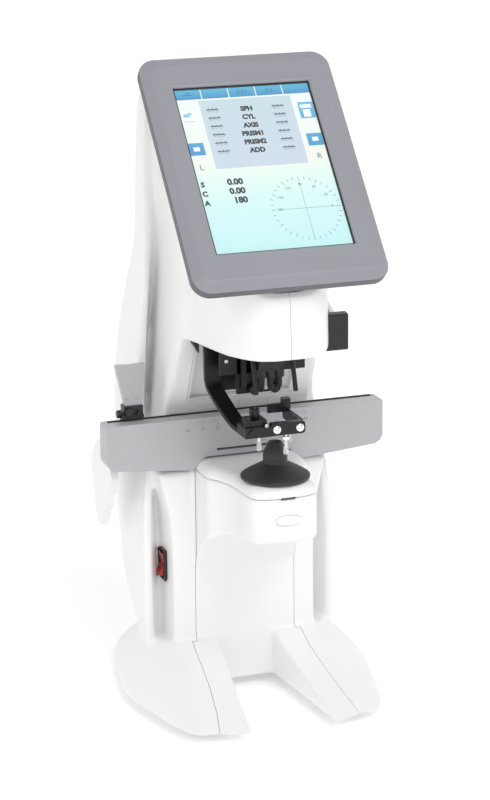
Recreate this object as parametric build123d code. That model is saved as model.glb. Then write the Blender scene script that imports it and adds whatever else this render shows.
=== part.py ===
"""Digital lensmeter: a C-shaped housing with a touch display, a lens rest, a sliding spectacle table,
a lens holder and a marking unit.

Millimetres. +X is the operator's right, -Y faces the operator, +Z is up.
The origin is the middle of the object's footprint, at the surface that it stands on.
Every sub-part is written to parts/NAME.step.
"""
from build123d import *
import os
from math import atan2, cos, degrees, pi, radians, sin, sqrt

os.makedirs("parts", exist_ok=True)

# ---------------------------------------------------------------- driving dimensions
WALL = 2.6              # moulded housing wall
FLOOR = 2.0             # underside of the housing, above the rubber feet's contact
SEAM_X = 34.2           # half the width of the lower front cover
COLUMN_FRONT = -6.0     # front face of the column
DECK_Z = 149.5          # top of the lower housing, under the spectacle table
NOTCH_BACK = 4.5        # front of the neck, behind the spectacle table
NOTCH_TOP = 188.0       # where the neck starts to lean forward
HEAD_BOTTOM = 241.0     # lower edge of the head
NECK_LEAN_Y = -22.0     # front of the neck at the head's lower edge
AXIS_Y = -66.0          # optical axis, at x = 0

# display: a slab square to the operator's line of sight
SCREEN_Y, SCREEN_Z = -48.3, 352.3   # centre of the visible screen
SCREEN_TILT = 47.6                  # degrees from horizontal
SCREEN_W, SCREEN_H = 89.0, 119.5    # visible screen
BEZEL_W, BEZEL_H = 125.5, 168.0
BEZEL_BACK = -8.0                   # depths are along the screen's normal, from its surface
DISPLAY_BACK = -13.5
HEAD_TOP = -15.0                    # sloping top of the housing, parallel to the screen
HINGE_U, HINGE_N = -76.0, -11.5     # display hinge, down the screen and behind it
HINGE_R = 3.0
HINGE_PIN_R = 1.5

# spectacle table
BAR_FRONT, BAR_BACK = -13.5, 1.5
BAR_TOP = 186.3
BAR_HALF = 94.0
BAR_END_Z = 157.0
ARCH_HALF, ARCH_Z = 27.4, 160.0
ARCH_FOOT_X, ARCH_FOOT_Z = 36.8, 151.8
ROD_X, ROD_Z, ROD_R = 27.0, 172.0, 4.0
RACK_X0, RACK_X1 = -45.0, -40.0
LEVER_Y, LEVER_Z = 33.0, 156.0      # axle of the table lever
PINION_TEETH = 44
MODULE = 1.0
PINION_R = MODULE * PINION_TEETH / 2
RACK_PITCH_Z = LEVER_Z + PINION_R
AXLE_R = 4.0
RUN = 0.05                          # radial clearance of a running fit

# lens rest and stage
STAGE_FRONT = -90.0
CAP_BOTTOM, CAP_TOP = 151.5, 158.8
SKIRT_R = 21.8
REST_R = 7.7
REST_TOP = 182.0

# marking unit
MARK_FORWARD, MARK_DOWN = 8.0, 25.0  # carriage travel
MARK_PIVOT_Y, MARK_PIVOT_Z = 8.0, 262.0

nodes = {}


# ---------------------------------------------------------------- helpers
def block(x0, x1, y0, y1, z0, z1):
    """A box between two corners."""
    size = Box(x1 - x0, y1 - y0, z1 - z0)
    return Pos((x0 + x1) / 2, (y0 + y1) / 2, (z0 + z1) / 2) * size


def rod(axis, length, radius, at):
    """A cylinder that starts at a point and runs along +X, +Y or +Z."""
    turn = {"x": Rot(0, 90, 0), "y": Rot(-90, 0, 0), "z": Rot(0, 0, 0)}[axis]
    cylinder = Cylinder(radius, length, align=(Align.CENTER, Align.CENTER, Align.MIN))
    return Pos(*at) * turn * cylinder


def prism_yz(points, x0, x1):
    """A side profile of (y, z) points, extruded from x0 to x1."""
    face = make_face(Polyline(*[(x0, y, z) for y, z in points], close=True))
    return extrude(face, amount=x1 - x0, dir=(1, 0, 0))


def prism_xz(points, y0, y1):
    """A front profile of (x, z) points, extruded from y0 to y1."""
    face = make_face(Polyline(*[(x, y0, z) for x, z in points], close=True))
    return extrude(face, amount=y1 - y0, dir=(0, 1, 0))


def prism_xy(points, z0, z1):
    """A plan of (x, y) points, extruded from z0 to z1."""
    face = make_face(Polyline(*[(x, y, z0) for x, y in points], close=True))
    return extrude(face, amount=z1 - z0, dir=(0, 0, 1))


def mirrored(shape):
    return mirror(shape, about=Plane.YZ)


def sections(levels):
    """A solid through closed plans, each given as (z, [(x, y), ...])."""
    faces = [make_face(Polyline(*[(x, y, z) for x, y in plan], close=True)) for z, plan in levels]
    return loft(faces, ruled=True)


def bridge(a, b):
    """A four-sided bar between two quadrilaterals."""
    faces = [make_face(Polyline(*corners, close=True)) for corners in (a, b)]
    return loft(faces, ruled=True)


def largest(shape):
    """The biggest solid of a result, without the slivers a cut may leave."""
    return shape.solids().sort_by(SortBy.VOLUME)[-1]


def add(name, *shapes):
    """Stores a node: one solid, or a group of separate ones."""
    solids = [solid for shape in shapes for solid in shape.solids()]
    nodes[name] = solids[0] if len(solids) == 1 else Compound(children=solids)


screen = Plane(
    origin=(0, SCREEN_Y, SCREEN_Z),
    x_dir=(1, 0, 0),
    z_dir=(0, -sin(radians(SCREEN_TILT)), cos(radians(SCREEN_TILT))),
)


def on_screen(shape):
    """Moves a shape from the screen's own frame (x, up the screen, out of it) to the object's."""
    return screen.location * shape


# ---------------------------------------------------------------- housing volume
# Half-plans of the body, from the rear centre line round the side to the front centre line.
# Each row: z, rear y, widest half-width, wing edge (x, y), channel floor (x, y), front corner (x, y)
LOWER = [
    (FLOOR, 40, 62.0, (64.0, -3), (51.0, 24), (48.5, COLUMN_FRONT)),
    (39, 42, 64.0, (65.5, -4), (51.0, 25), (48.5, COLUMN_FRONT)),
    (51, 53, 66.0, (66.5, -4), (51.0, 26), (48.5, COLUMN_FRONT)),
    (63, 69, 66.5, (66.5, -4), (51.0, 26), (48.5, COLUMN_FRONT)),
    (91, 83, 66.5, (66.5, -3), (51.0, 26), (48.5, COLUMN_FRONT)),
    (118, 95, 66.0, (65.5, 0), (52.0, 25), (50.0, COLUMN_FRONT)),
    (DECK_Z, 101.5, 64.0, (62.0, 8), (58.5, 20), (57.0, COLUMN_FRONT)),
]
UPPER = [
    (DECK_Z, 101.5, 64.0, (62.0, 8), (58.5, 20), (57.0, NOTCH_BACK)),
    (167, 104.3, 63.0, (61.5, 18), (54.0, 36), (53.0, NOTCH_BACK)),
    (NOTCH_TOP, 101.5, 62.5, (61.0, 27), (50.5, 48), (49.0, NOTCH_BACK)),
    (215, 94, 62.5, (61.5, 21), (49.5, 46), (48.0, -9.3)),
    (HEAD_BOTTOM, 82, 62.0, (61.5, 17), (49.0, 40), (47.0, NECK_LEAN_Y)),
    (271, 60, 61.5, (61.0, 12.5), (48.5, 30), (46.0, -33)),
    (302, 38, 61.0, (60.5, 10), (48.5, 18), (46.0, -33)),
    (345, 34, 60.5, (60.0, 8), (52.0, 9), (46.0, -33)),
    (385, 30, 59.0, (58.0, 7), (52.0, 6), (46.0, -33)),
    (402, 10, 54.0, (53.0, 1), (50.0, -1), (46.0, -33)),
]


def half_plan(row, inset):
    """Closed half-plan of the body, moved inwards by the wall where inset is not 0."""
    z, rear, wide, wing, channel, corner = row
    rear_in = rear - inset
    depth = rear_in - wing[1]
    wing_y = wing[1] + min(6 * inset, 0.45 * depth)
    plan = [
        (0, rear_in),
        (30, rear_in),
        (wide - 6 - inset, rear_in - 0.18 * depth),
        (wide - inset, rear_in - 0.45 * depth),
        (wing[0] - 1.2 * inset, wing_y),
        (channel[0] - inset, max(channel[1] + inset, wing_y - 0.2 * inset)),
        (corner[0] + 1 - inset, corner[1] + 8 + inset),
        (corner[0] - inset, corner[1] + inset),
        (0, corner[1] + inset),
    ]
    return z, plan


def body_half(rows, inset):
    return sections([half_plan(row, inset) for row in rows])


# half-plan of the head, from its front centre line back along its side
HEAD_PLAN = [(0, -96.8), (12.7, -96.0), (23, -90.5), (32.6, -74), (37.5, -54.5), (41.5, -33.6), (46, -20)]


def head_half(inset, bottom):
    """The head: a rounded nose in plan, which leans back slightly towards its top."""
    faces = []
    for z, shrink in ((bottom, 0.0), (330.0, 5.0)):
        points = []
        for x, y in HEAD_PLAN:
            scale = (46 - inset) / 46
            points.append((x * scale, y + (inset + shrink) * (-20 - y) / 76.8, z))
        nose = Spline(*points)
        back = Polyline(points[-1], (points[-1][0], -10, z), (0, -10, z), points[0])
        faces.append(make_face([nose, back]))
    return loft(faces, ruled=True)


def below_screen(depth):
    """Everything behind a plane parallel to the screen."""
    return on_screen(Pos(0, 0, depth - 300) * Box(400, 900, 600))


def body_volume(inset):
    """The whole right half of the housing as one closed volume."""
    lower = list(LOWER)
    upper = list(UPPER)
    if inset:
        upper[0] = (DECK_Z - 12,) + upper[0][1:]
        lower[0] = (FLOOR - 1,) + lower[0][1:]
        lower[-1] = (DECK_Z - inset,) + lower[-1][1:]
    head = head_half(inset, HEAD_BOTTOM - (4 if inset else 0))
    top = below_screen(HEAD_TOP - inset)
    return body_half(lower, inset) + (body_half(upper, inset) + head) & (top)


# ---------------------------------------------------------------- feet volume
# Right foot, each row: z and its plan from the inner wall round the toe and the outside to the heel
FOOT = [
    (FLOOR, [(18.4, -3), (28, -101.5), (47, -93), (66, -84), (82, -26), (82, 8), (70, 66), (56, 90), (36, 92)]),
    (9, [(18.4, -3), (26.4, -82), (45, -77), (62, -70), (80, -23), (80.5, 8), (68.5, 64), (54, 87), (36, 89)]),
    (18, [(18.4, -3), (23.6, -53), (40, -51), (54, -46), (73.5, -15), (75, 10), (63, 57), (50, 78), (36, 80)]),
    (27, [(18.4, -3), (20.3, -23), (36, -23), (48, -20), (63.5, -7), (67, 12), (57, 46), (46, 64), (36, 66)]),
    (34, [(18.4, -3), (18.9, -7.5), (34, -7.5), (44, -7), (54, -2), (60, 14), (50, 38), (42, 50), (36, 52)]),
]


def foot_half(inset):
    """One foot, with its plans moved inwards by the wall where inset is not 0."""
    levels = []
    for z, plan in FOOT:
        inner = [(plan[0][0] + inset, plan[0][1])]
        middle = (44, 0)
        for x, y in plan[1:]:
            reach = sqrt((x - middle[0]) ** 2 + (y - middle[1]) ** 2)
            pull = 1.4 * inset / reach
            inner.append((max(x + (middle[0] - x) * pull, plan[0][0] + inset), y + (middle[1] - y) * pull))
        inner.append((36 + inset, 30))
        inner.append((plan[0][0] + inset, 30))
        level = z - inset * (1.0 if z > FLOOR else 1.2)
        levels.append((level, inner))
    return sections(levels)


# ---------------------------------------------------------------- housing shells
outer = body_volume(0) + foot_half(0)
hollow = body_volume(WALL) + foot_half(WALL)
skin = outer - hollow
skin -= block(-1, 40, -92, -24.5, HEAD_BOTTOM - 8, HEAD_BOTTOM + 4) & head_half(WALL, HEAD_BOTTOM - 10)
skin -= block(-1, 60, -100, 100, -5, FLOOR + 0.001)

# seam between the side shell and the front cover: down the column, then out along the foot
seam_zone = block(-1, SEAM_X, COLUMN_FRONT - 3, COLUMN_FRONT + 8, -1, DECK_Z - 0.001)
seam_zone += prism_xy([(-1, 6), (-1, -110), (47.5, -110), (42.5, -67), (38.5, -40), (37.5, -3), (37.5, 6)], -1, 34)

# throat window, rear window, vents and holes
LEAN = (NECK_LEAN_Y - NOTCH_BACK) / (HEAD_BOTTOM - NOTCH_TOP)
THROAT_X, THROAT_LOW, THROAT_HIGH = 36.0, 194.0, 237.0


def neck_front(z):
    """Y of the neck's leaning front face at height z."""
    return NOTCH_BACK + LEAN * (z - NOTCH_TOP)


def throat_strip(front, back, low, high):
    """Side profile of a strip that follows the neck's lean, between two depths behind its face."""
    return [
        (neck_front(low) + front, low),
        (neck_front(high) + front, high),
        (neck_front(high) + back, high),
        (neck_front(low) + back, low),
    ]


skin -= prism_yz(throat_strip(-9, 12, THROAT_LOW, THROAT_HIGH), -1, THROAT_X)
REAR_X, REAR_LOW, REAR_HIGH = 32.0, 8.0, 46.0
skin -= block(-1, REAR_X, 34, 60, REAR_LOW, REAR_HIGH)
for index in range(6):
    vent_z = 104 + 8 * index
    skin -= block(6, 26, 70, 120, vent_z, vent_z + 2.6)
skin -= rod("y", 40, ROD_R + 1.5, (ROD_X, NOTCH_BACK - 10, ROD_Z))

side = largest(skin - seam_zone)
cover_half = largest(skin & seam_zone)

left_side = mirrored(side)
left_side -= rod("x", 40, AXLE_R + 3, (-75, LEVER_Y, LEVER_Z))
left_side -= block(RACK_X0 - 1.5, RACK_X1 + 1.5, -5, 12, RACK_PITCH_Z - 3, RACK_PITCH_Z + 7.5)
SWITCH_Y, SWITCH_Z = 12.0, 83.0
SWITCH_FACE = -50.0
left_side -= block(-56, -44, SWITCH_Y - 6.8, SWITCH_Y + 6.8, SWITCH_Z - 9.9, SWITCH_Z + 9.9)
right_side = side - rod("x", 20, 3.0 + RUN, (40, MARK_PIVOT_Y, MARK_PIVOT_Z))
add("left_side_shell", largest(left_side))
add("right_side_shell", largest(right_side))

# ---------------------------------------------------------------- front cover and stage
STAGE_PLAN = [(34.2, -5), (34.2, -30), (28.5, -41), (24, -57), (22, -81), (18, -87), (9, -89.6), (0, STAGE_FRONT)]


def both_sides(half):
    """A closed symmetric outline from its right half, given from back to front."""
    return half + [(-x, y) for x, y in reversed(half) if x > 0]


def stage_plan(inset, back):
    points = [(x - inset, y + (inset if y < -60 else 0)) for x, y in STAGE_PLAN[1:-1]]
    return both_sides([(SEAM_X - inset, back)] + points + [(0, STAGE_FRONT + inset)])


def stage_profile(inset):
    return [
        (-5, CAP_BOTTOM - 1.5),
        (-95, CAP_BOTTOM - 1.5),
        (-95, 123 + inset),
        (-78, 122 + inset),
        (-48, 116 + inset),
        (-22 + inset, 104 + inset),
        (-9 + inset, 88 + inset),
        (-5, 80 + inset),
    ]


stage = prism_xy(stage_plan(0, -5), 70, CAP_BOTTOM) & prism_yz(stage_profile(0), -40, 40)
stage_room = prism_xy(stage_plan(WALL, -8), 60, CAP_BOTTOM) & prism_yz(stage_profile(WALL), -40, 40)
stage += block(-SEAM_X, SEAM_X, COLUMN_FRONT + 0.2, COLUMN_FRONT + 2.4, 60, DECK_Z - 3)
front = cover_half + mirrored(cover_half) + stage
front -= stage_room + block(-28, 28, -9, 0, 90, DECK_Z)
BUTTON_Z = 137.4


def oval(width, height, y0, y1, z):
    """An upright oval bar along Y."""
    outline = Plane.XZ * SlotOverall(width, height)
    return Pos(0, y0, z) * extrude(outline, amount=y1 - y0, dir=(0, 1, 0))


front -= oval(16.8, 7.3, -95, -80, BUTTON_Z)
front -= block(-5, 5, STAGE_FRONT - 1, STAGE_FRONT + 1.2, CAP_BOTTOM - 2.4, CAP_BOTTOM + 1)
add("front_cover", largest(front))

cap_plan = both_sides([(34.2, NOTCH_BACK - 0.3), (34.2, -30), (28.5, -41), (24, -57), (22, -81), (18, -87), (9, -89.6)])
cap = prism_xy(cap_plan, CAP_BOTTOM, CAP_TOP)
cap = chamfer(cap.faces().sort_by(Axis.Z)[-1].edges().filter_by(lambda e: e.center().Y < NOTCH_BACK - 1), 6.4, 7.0)
cap -= block(-19, 19, -82, -2, CAP_BOTTOM - 1, CAP_TOP - WALL)
cap -= rod("z", 20, 9.0, (0, AXIS_Y, CAP_BOTTOM - 5))
add("stage_cap", cap)

button = oval(16.0, 6.5, STAGE_FRONT - 1.0, -86.0, BUTTON_Z) + oval(18.4, 9.4, -86.0, -84.6, BUTTON_Z)
add("memory_button", fillet(button.faces().sort_by(Axis.Y)[0].edges(), 0.8))

# ---------------------------------------------------------------- covers, feet and floor
throat = prism_yz(throat_strip(0, 7.2, THROAT_LOW, THROAT_HIGH), -THROAT_X, THROAT_X)
throat -= prism_yz(throat_strip(-1, 5, THROAT_LOW + 1.8, THROAT_HIGH - 1.8), -THROAT_X + 1.8, THROAT_X - 1.8)
add("throat_panel", throat)

rear = block(-REAR_X, REAR_X, 37.6, 40.2, REAR_LOW, REAR_HIGH)
INLET_X, PORT_X, PORT_Z = -14.0, 18.0, 27.0
rear -= block(INLET_X - 13.6, INLET_X + 13.6, 30, 50, 17, 37)
rear -= block(PORT_X - 7.2, PORT_X + 7.2, 30, 50, PORT_Z - 4.8, PORT_Z + 4.8)
add("rear_panel", rear)
inlet = block(INLET_X - 13.5, INLET_X + 13.5, 28.6, 40.2, 17.1, 36.9) + block(INLET_X - 15, INLET_X + 15, 40.2, 42.6, 14.5, 39.5)
inlet -= block(INLET_X - 11, INLET_X + 11, 31.5, 44, 19.5, 34.5)
for pin_x, pin_z in ((-7, 25), (0, 29), (7, 25)):
    inlet += block(INLET_X + pin_x - 1, INLET_X + pin_x + 1, 30, 39, pin_z - 2, pin_z + 2)
add("mains_inlet", inlet)
serial = block(PORT_X - 7.1, PORT_X + 7.1, 29, 41.6, PORT_Z - 4.7, PORT_Z + 4.7)
serial -= block(PORT_X - 5.6, PORT_X + 5.6, 34, 44, PORT_Z - 3.2, PORT_Z + 3.2)
add("printer_port", serial)

plate = both_sides([
    (24, 32), (40, 32), (41, 78), (52, 78), (62, 60), (74, 8), (74, -18), (59, -60), (44, -72), (30, -64), (24, -10),
    (23, -2.4), (0, -2.4)])
add("base_plate", prism_xy(plate, FLOOR + 0.6, FLOOR + 3.1))
FOOT_SPOTS = [(48, -64), (52, 68)]
pads = [rod("z", FLOOR + 0.6, 8.0, (side_x * x, y, 0)) for x, y in FOOT_SPOTS for side_x in (-1, 1)]
add("rubber_feet", *[fillet(pad.faces().sort_by(Axis.Z)[0].edges(), 0.8) for pad in pads])

# ---------------------------------------------------------------- power switch
frame = block(SWITCH_FACE - 1.9, SWITCH_FACE - 0.6, SWITCH_Y - 7.5, SWITCH_Y + 7.5, SWITCH_Z - 10.5, SWITCH_Z + 10.5)
frame += block(SWITCH_FACE - 0.6, SWITCH_FACE + 13, SWITCH_Y - 6.5, SWITCH_Y + 6.5, SWITCH_Z - 9.6, SWITCH_Z + 9.6)
frame -= block(SWITCH_FACE - 5, SWITCH_FACE + 6.5, SWITCH_Y - 5.2, SWITCH_Y + 5.2, SWITCH_Z - 9.0, SWITCH_Z + 9.0)
ROCKER_X = SWITCH_FACE + 2.0
ROCKER_PIN_R = 1.0
frame -= rod("y", 12.8, ROCKER_PIN_R + RUN, (ROCKER_X, SWITCH_Y - 6.4, SWITCH_Z))
add("power_switch_frame", frame)
rocker_side = [(-3.9, 7.4), (-2.9, 0), (-5.9, -7.4), (1.0, -6.2), (2.2, 0), (1.4, 6.2)]
rocker = prism_xz([(ROCKER_X + x, SWITCH_Z + z) for x, z in rocker_side], SWITCH_Y - 4.8, SWITCH_Y + 4.8)
add("power_rocker", rocker + rod("y", 12.4, ROCKER_PIN_R, (ROCKER_X, SWITCH_Y - 6.2, SWITCH_Z)))

# ---------------------------------------------------------------- main frame and optics
UPRIGHT_Y0, UPRIGHT_Y1 = 20.0, 28.0
casting = block(-14, 14, UPRIGHT_Y0, UPRIGHT_Y1, FLOOR + 3.1, 270)
casting += block(-30, 30, 4, 34, FLOOR + 3.1, FLOOR + 7.1) + block(-13, 13, -78, UPRIGHT_Y0, 126, 128.4)
casting += block(-12, 12, -84, UPRIGHT_Y0, 264, 270)
add("main_frame", casting)
add("table_slide_block", block(-38, 38, 8, UPRIGHT_Y0, 163, 181)
    - rod("y", 20, 6.5, (-ROD_X, 5, ROD_Z)) - rod("y", 20, 6.5, (ROD_X, 5, ROD_Z)))
bushes = [rod("y", 12, 6.5, (x, 8, ROD_Z)) - rod("y", 20, ROD_R + RUN, (x, 5, ROD_Z)) for x in (-ROD_X, ROD_X)]
add("slide_bushes", *bushes)
barrel = rod("y", 70, 8.6, (0, -58, 138)) - rod("y", 66, 7.2, (0, -59, 138))
add("sensor_barrel", barrel)
add("fold_mirror", bridge(
    [(-7, -72, 131.2), (7, -72, 131.2), (7, -70.4, 130.0), (-7, -70.4, 130.0)],
    [(-7, -60.2, 143.4), (7, -60.2, 143.4), (7, -58.6, 142.2), (-7, -58.6, 142.2)]))
add("image_sensor_board", block(-13, 13, 12, 13.6, 129, 147.5))
lens = rod("z", 3.0, 6.2, (0, AXIS_Y, 166)) & Pos(0, AXIS_Y, 166 - 22) * Sphere(25)
add("measuring_lens", lens)
hartmann = rod("z", 1.0, 6.5, (0, AXIS_Y, CAP_BOTTOM + 3.2))
for hole_x in (-3, 0, 3):
    for hole_y in (-3, 0, 3):
        hartmann -= rod("z", 3, 0.6, (hole_x, AXIS_Y + hole_y, CAP_BOTTOM + 2))
add("hartmann_plate", hartmann)
lamp = rod("z", 16, 11, (0, AXIS_Y, 248)) - rod("z", 11.6, 9.2, (0, AXIS_Y, 247.9))
add("lamp_barrel", lamp)
add("collimator_lens", rod("z", 3.4, 9.15, (0, AXIS_Y, 249)) & Pos(0, AXIS_Y, 247) * Sphere(10.6))
add("lamp_board", rod("z", 1.6, 9.1, (0, AXIS_Y, 257.9)))
add("main_board", block(-30, 30, UPRIGHT_Y1, UPRIGHT_Y1 + 1.6, 72, 142))
add("power_supply", block(-26, 26, -2.4, UPRIGHT_Y0, FLOOR + 7.1, 58))

# ---------------------------------------------------------------- lens rest
REST_PROFILE = [
    (3.6, CAP_TOP + 8.4), (3.6, REST_TOP), (4.4, REST_TOP), (REST_R, 174.6), (REST_R, 165.6),
    (10.5, 165.2), (15.2, 163.6), (19.4, 161.6), (SKIRT_R, 160.2), (SKIRT_R, CAP_TOP), (6.6, CAP_TOP),
    (6.6, CAP_TOP + 8.4),
]
profile = make_face(Polyline(*[(r, 0, z) for r, z in REST_PROFILE], close=True))
rest = Pos(0, AXIS_Y, 0) * revolve(profile, Axis.Z)
rest += rod("z", 6, 8.9, (0, AXIS_Y, CAP_TOP - 6 + 0.001)) - rod("z", 10, 6.6, (0, AXIS_Y, CAP_TOP - 7))
rest -= rod("z", 12, 6.25, (0, AXIS_Y, 157.1))
add("lens_rest", largest(rest))

# ---------------------------------------------------------------- spectacle table
bar_outline = [
    (BAR_HALF, BAR_TOP), (BAR_HALF, BAR_END_Z + 4), (BAR_HALF - 5, BAR_END_Z - 0.6), (ARCH_FOOT_X, ARCH_FOOT_Z),
    (ARCH_HALF, ARCH_Z),
]
bar_outline = bar_outline + [(-x, z) for x, z in reversed(bar_outline)]
bar = prism_xz(bar_outline, BAR_FRONT, BAR_BACK)
bar = fillet(bar.faces().sort_by(Axis.Y)[0].edges(), 1.0)
bar -= block(-20.6, 20.6, BAR_FRONT - 1, BAR_FRONT + 8, 163.0, 165.0)
bar -= block(-90, 90, -3.4, -0.6, BAR_TOP - 3, BAR_TOP + 1)
for side_x in (-1, 1):
    inner, outer_x = sorted((side_x * 42, side_x * 88))
    bar -= block(inner, outer_x, BAR_FRONT + 3, BAR_BACK + 1, 161, 181)
bar -= block(-89, 89, BAR_BACK - 2.4, BAR_BACK + 1, 160.4, 182)
add("table_bar", bar)
back_plate = block(-88.8, 88.8, BAR_BACK - 2.3, BAR_BACK, 160.6, 181.8)
add("table_back_plate", back_plate)
add("slider_rail", block(-89.8, 89.8, -3.3, -0.7, BAR_TOP - 2.9, BAR_TOP + 0.3))
add("table_rods", *[rod("y", 62, ROD_R, (x, BAR_BACK, ROD_Z)) for x in (-ROD_X, ROD_X)])

pitch = pi * MODULE
BACKLASH = 0.55
rack_teeth = []
for index in range(16):
    centre = LEVER_Y + (index - 4) * pitch
    rack_teeth += [
        (centre - 1.3 + BACKLASH / 4, RACK_PITCH_Z + 1.15),
        (centre - 0.45 + BACKLASH / 4, RACK_PITCH_Z - 0.8),
        (centre + 0.45 - BACKLASH / 4, RACK_PITCH_Z - 0.8),
        (centre + 1.3 - BACKLASH / 4, RACK_PITCH_Z + 1.15),
    ]
rack_end = rack_teeth[-1][0] + 3
rack_start = rack_teeth[0][0] - 1
rack = prism_yz(
    [(BAR_BACK, RACK_PITCH_Z + 6), (BAR_BACK, RACK_PITCH_Z + 1.15), (rack_start, RACK_PITCH_Z + 1.15)]
    + rack_teeth
    + [(rack_end, RACK_PITCH_Z + 1.15), (rack_end, RACK_PITCH_Z + 6)],
    RACK_X0, RACK_X1)
add("table_rack", rack)

# ---------------------------------------------------------------- table lever
tooth_points = []
for index in range(PINION_TEETH):
    middle = pi / 2 + (index + 0.5) * 2 * pi / PINION_TEETH
    for radius, half in ((PINION_R - 1.2, 1.28), (PINION_R, 0.70), (PINION_R + 0.9, 0.36)):
        tooth_points.append((middle - half / radius, radius))
    for radius, half in ((PINION_R + 0.9, 0.36), (PINION_R, 0.70), (PINION_R - 1.2, 1.28)):
        tooth_points.append((middle + half / radius, radius))
pinion = prism_yz(
    [(LEVER_Y + radius * cos(angle), LEVER_Z + radius * sin(angle)) for angle, radius in tooth_points],
    RACK_X0, RACK_X1)
pinion -= rod("x", 10, AXLE_R, (RACK_X0 - 1, LEVER_Y, LEVER_Z))
add("table_pinion", pinion)
add("lever_axle", rod("x", 51, AXLE_R, (-87, LEVER_Y, LEVER_Z)))
bush = rod("x", 13, AXLE_R + 3, (-66, LEVER_Y, LEVER_Z)) + rod("x", 2, AXLE_R + 5, (-66.4, LEVER_Y, LEVER_Z))
add("lever_bush", bush - rod("x", 20, AXLE_R + RUN, (-70, LEVER_Y, LEVER_Z)))
bracket = block(-38.5, -35.2, 8, 44, 146, 163) - rod("x", 10, AXLE_R + RUN, (-42, LEVER_Y, LEVER_Z))
add("axle_bracket", bracket)
PADDLE_X0, PADDLE_X1 = -87.0, -82.0
paddle_side = [
    (LEVER_Y - 2, LEVER_Z + 9.5), (LEVER_Y - 15, LEVER_Z + 7), (LEVER_Y - 26, LEVER_Z - 1),
    (LEVER_Y - 28, LEVER_Z - 4), (LEVER_Y - 31.5, LEVER_Z - 8), (LEVER_Y - 23, LEVER_Z - 22),
    (LEVER_Y - 4.5, LEVER_Z - 46.5), (LEVER_Y, LEVER_Z - 48.5), (LEVER_Y + 5, LEVER_Z - 47),
    (LEVER_Y + 8, LEVER_Z - 42), (LEVER_Y + 15.5, LEVER_Z - 16), (LEVER_Y + 16.5, LEVER_Z - 9),
    (LEVER_Y + 12.5, LEVER_Z - 2), (LEVER_Y + 5.5, LEVER_Z + 6.5),
]
paddle = prism_yz(paddle_side, PADDLE_X0, PADDLE_X1)
paddle = fillet(paddle.faces().sort_by(Axis.X)[0].edges(), 1.4)
paddle += rod("x", 12, 8, (PADDLE_X1 - 0.5, LEVER_Y, LEVER_Z))
add("table_lever", paddle - rod("x", 30, AXLE_R, (-88, LEVER_Y, LEVER_Z)))

# ---------------------------------------------------------------- PD slider
SLIDER_X = -73.6
clamp = block(SLIDER_X - 7.2, SLIDER_X + 7.2, -5.0, 4.2, BAR_TOP + 0.8, 196)
clamp += block(SLIDER_X - 6, SLIDER_X + 6, 2.1, 4.2, 177, BAR_TOP + 0.9)
add("pd_slider_clamp", clamp)
knob = prism_xz(
    [(SLIDER_X - 7.2, 196), (SLIDER_X + 7.2, 196), (SLIDER_X + 10.2, 222.4), (SLIDER_X - 9.8, 222.4)], -2.6, 1.8)
add("pd_slider_knob", fillet(knob.edges().filter_by(Axis.Y).group_by(Axis.Z)[-1], 1.5))

# ---------------------------------------------------------------- lens holder
STRIP_X0, STRIP_X1, STRIP_Y0, STRIP_Y1 = -35.6, -25.2, -36.0, -33.0
arm = block(STRIP_X0, STRIP_X1, STRIP_Y0, STRIP_Y1, 214, 262)
reach = bridge(
    [(STRIP_X0, STRIP_Y1, 214), (STRIP_X1, STRIP_Y1, 214), (STRIP_X1, STRIP_Y0, 214), (STRIP_X0, STRIP_Y0, 214)],
    [(-27, -72, 192), (-17.5, -72, 192), (-17.5, -72, 196), (-27, -72, 196)])
arm += reach
add("holder_arm", arm)
clamp_block = fillet(block(-27, -10, -88, -72, 192, 205).edges().filter_by(Axis.Z), 1.5)
add("holder_block", clamp_block + rod("z", 4.0, 3.0, (-18, -79, 205)))
fork = block(-10, 12, -88, -83.6, 191.6, 200) + block(9.4, 12, -83.6, -54, 193, 200)
fork += block(8.8, 12, -57, -54, 200, 205)
add("holder_fork", fork)
add("fork_screws", *[rod("y", 1.4, 2.6, (x, -89.4, 196)) for x in (-6.6, 8.4)])
PIN_SPOTS = [(0, -85.8, 191.6), (-13, -73, 192), (10.7, -62, 193)]
add("holder_pins", *[rod("z", top - 183.5, 1.0, (x, y, 183.5)) for x, y, top in PIN_SPOTS])
add("pin_tips", *[rod("z", 4.5, 1.7, (x, y, 179)) for x, y, _ in PIN_SPOTS])
guide = block(-37, -22.6, -40, -30, 243.5, 256) + block(-30, -22.6, -47, -40, 243.5, 256)
guide -= block(STRIP_X0 - 0.4, STRIP_X1 + 0.4, STRIP_Y0 - 0.4, STRIP_Y1 + 0.4, 240, 260)

# ---------------------------------------------------------------- marking unit
mech = block(-19, 8, -50, -47, 210, 264) + block(-30, 26, -50, -47, 223, 264)
lamp_shield = block(-24, -8, -31, -28.5, 208, 256)
add("marking_plate", mech + guide + lamp_shield)
add("plate_screws", *[rod("y", 2.2, 2.9, (x, -52.2, 212.9)) for x in (-9, 4.6)])
slope = degrees(atan2(MARK_FORWARD, MARK_DOWN))


def inclined(radius, length, x, y, z):
    """A rod that runs down and forward along the carriage's travel, from its upper end."""
    straight = Cylinder(radius, length, align=(Align.CENTER, Align.CENTER, Align.MAX))
    return Pos(x, y, z) * Rot(-slope, 0, 0) * straight


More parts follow.
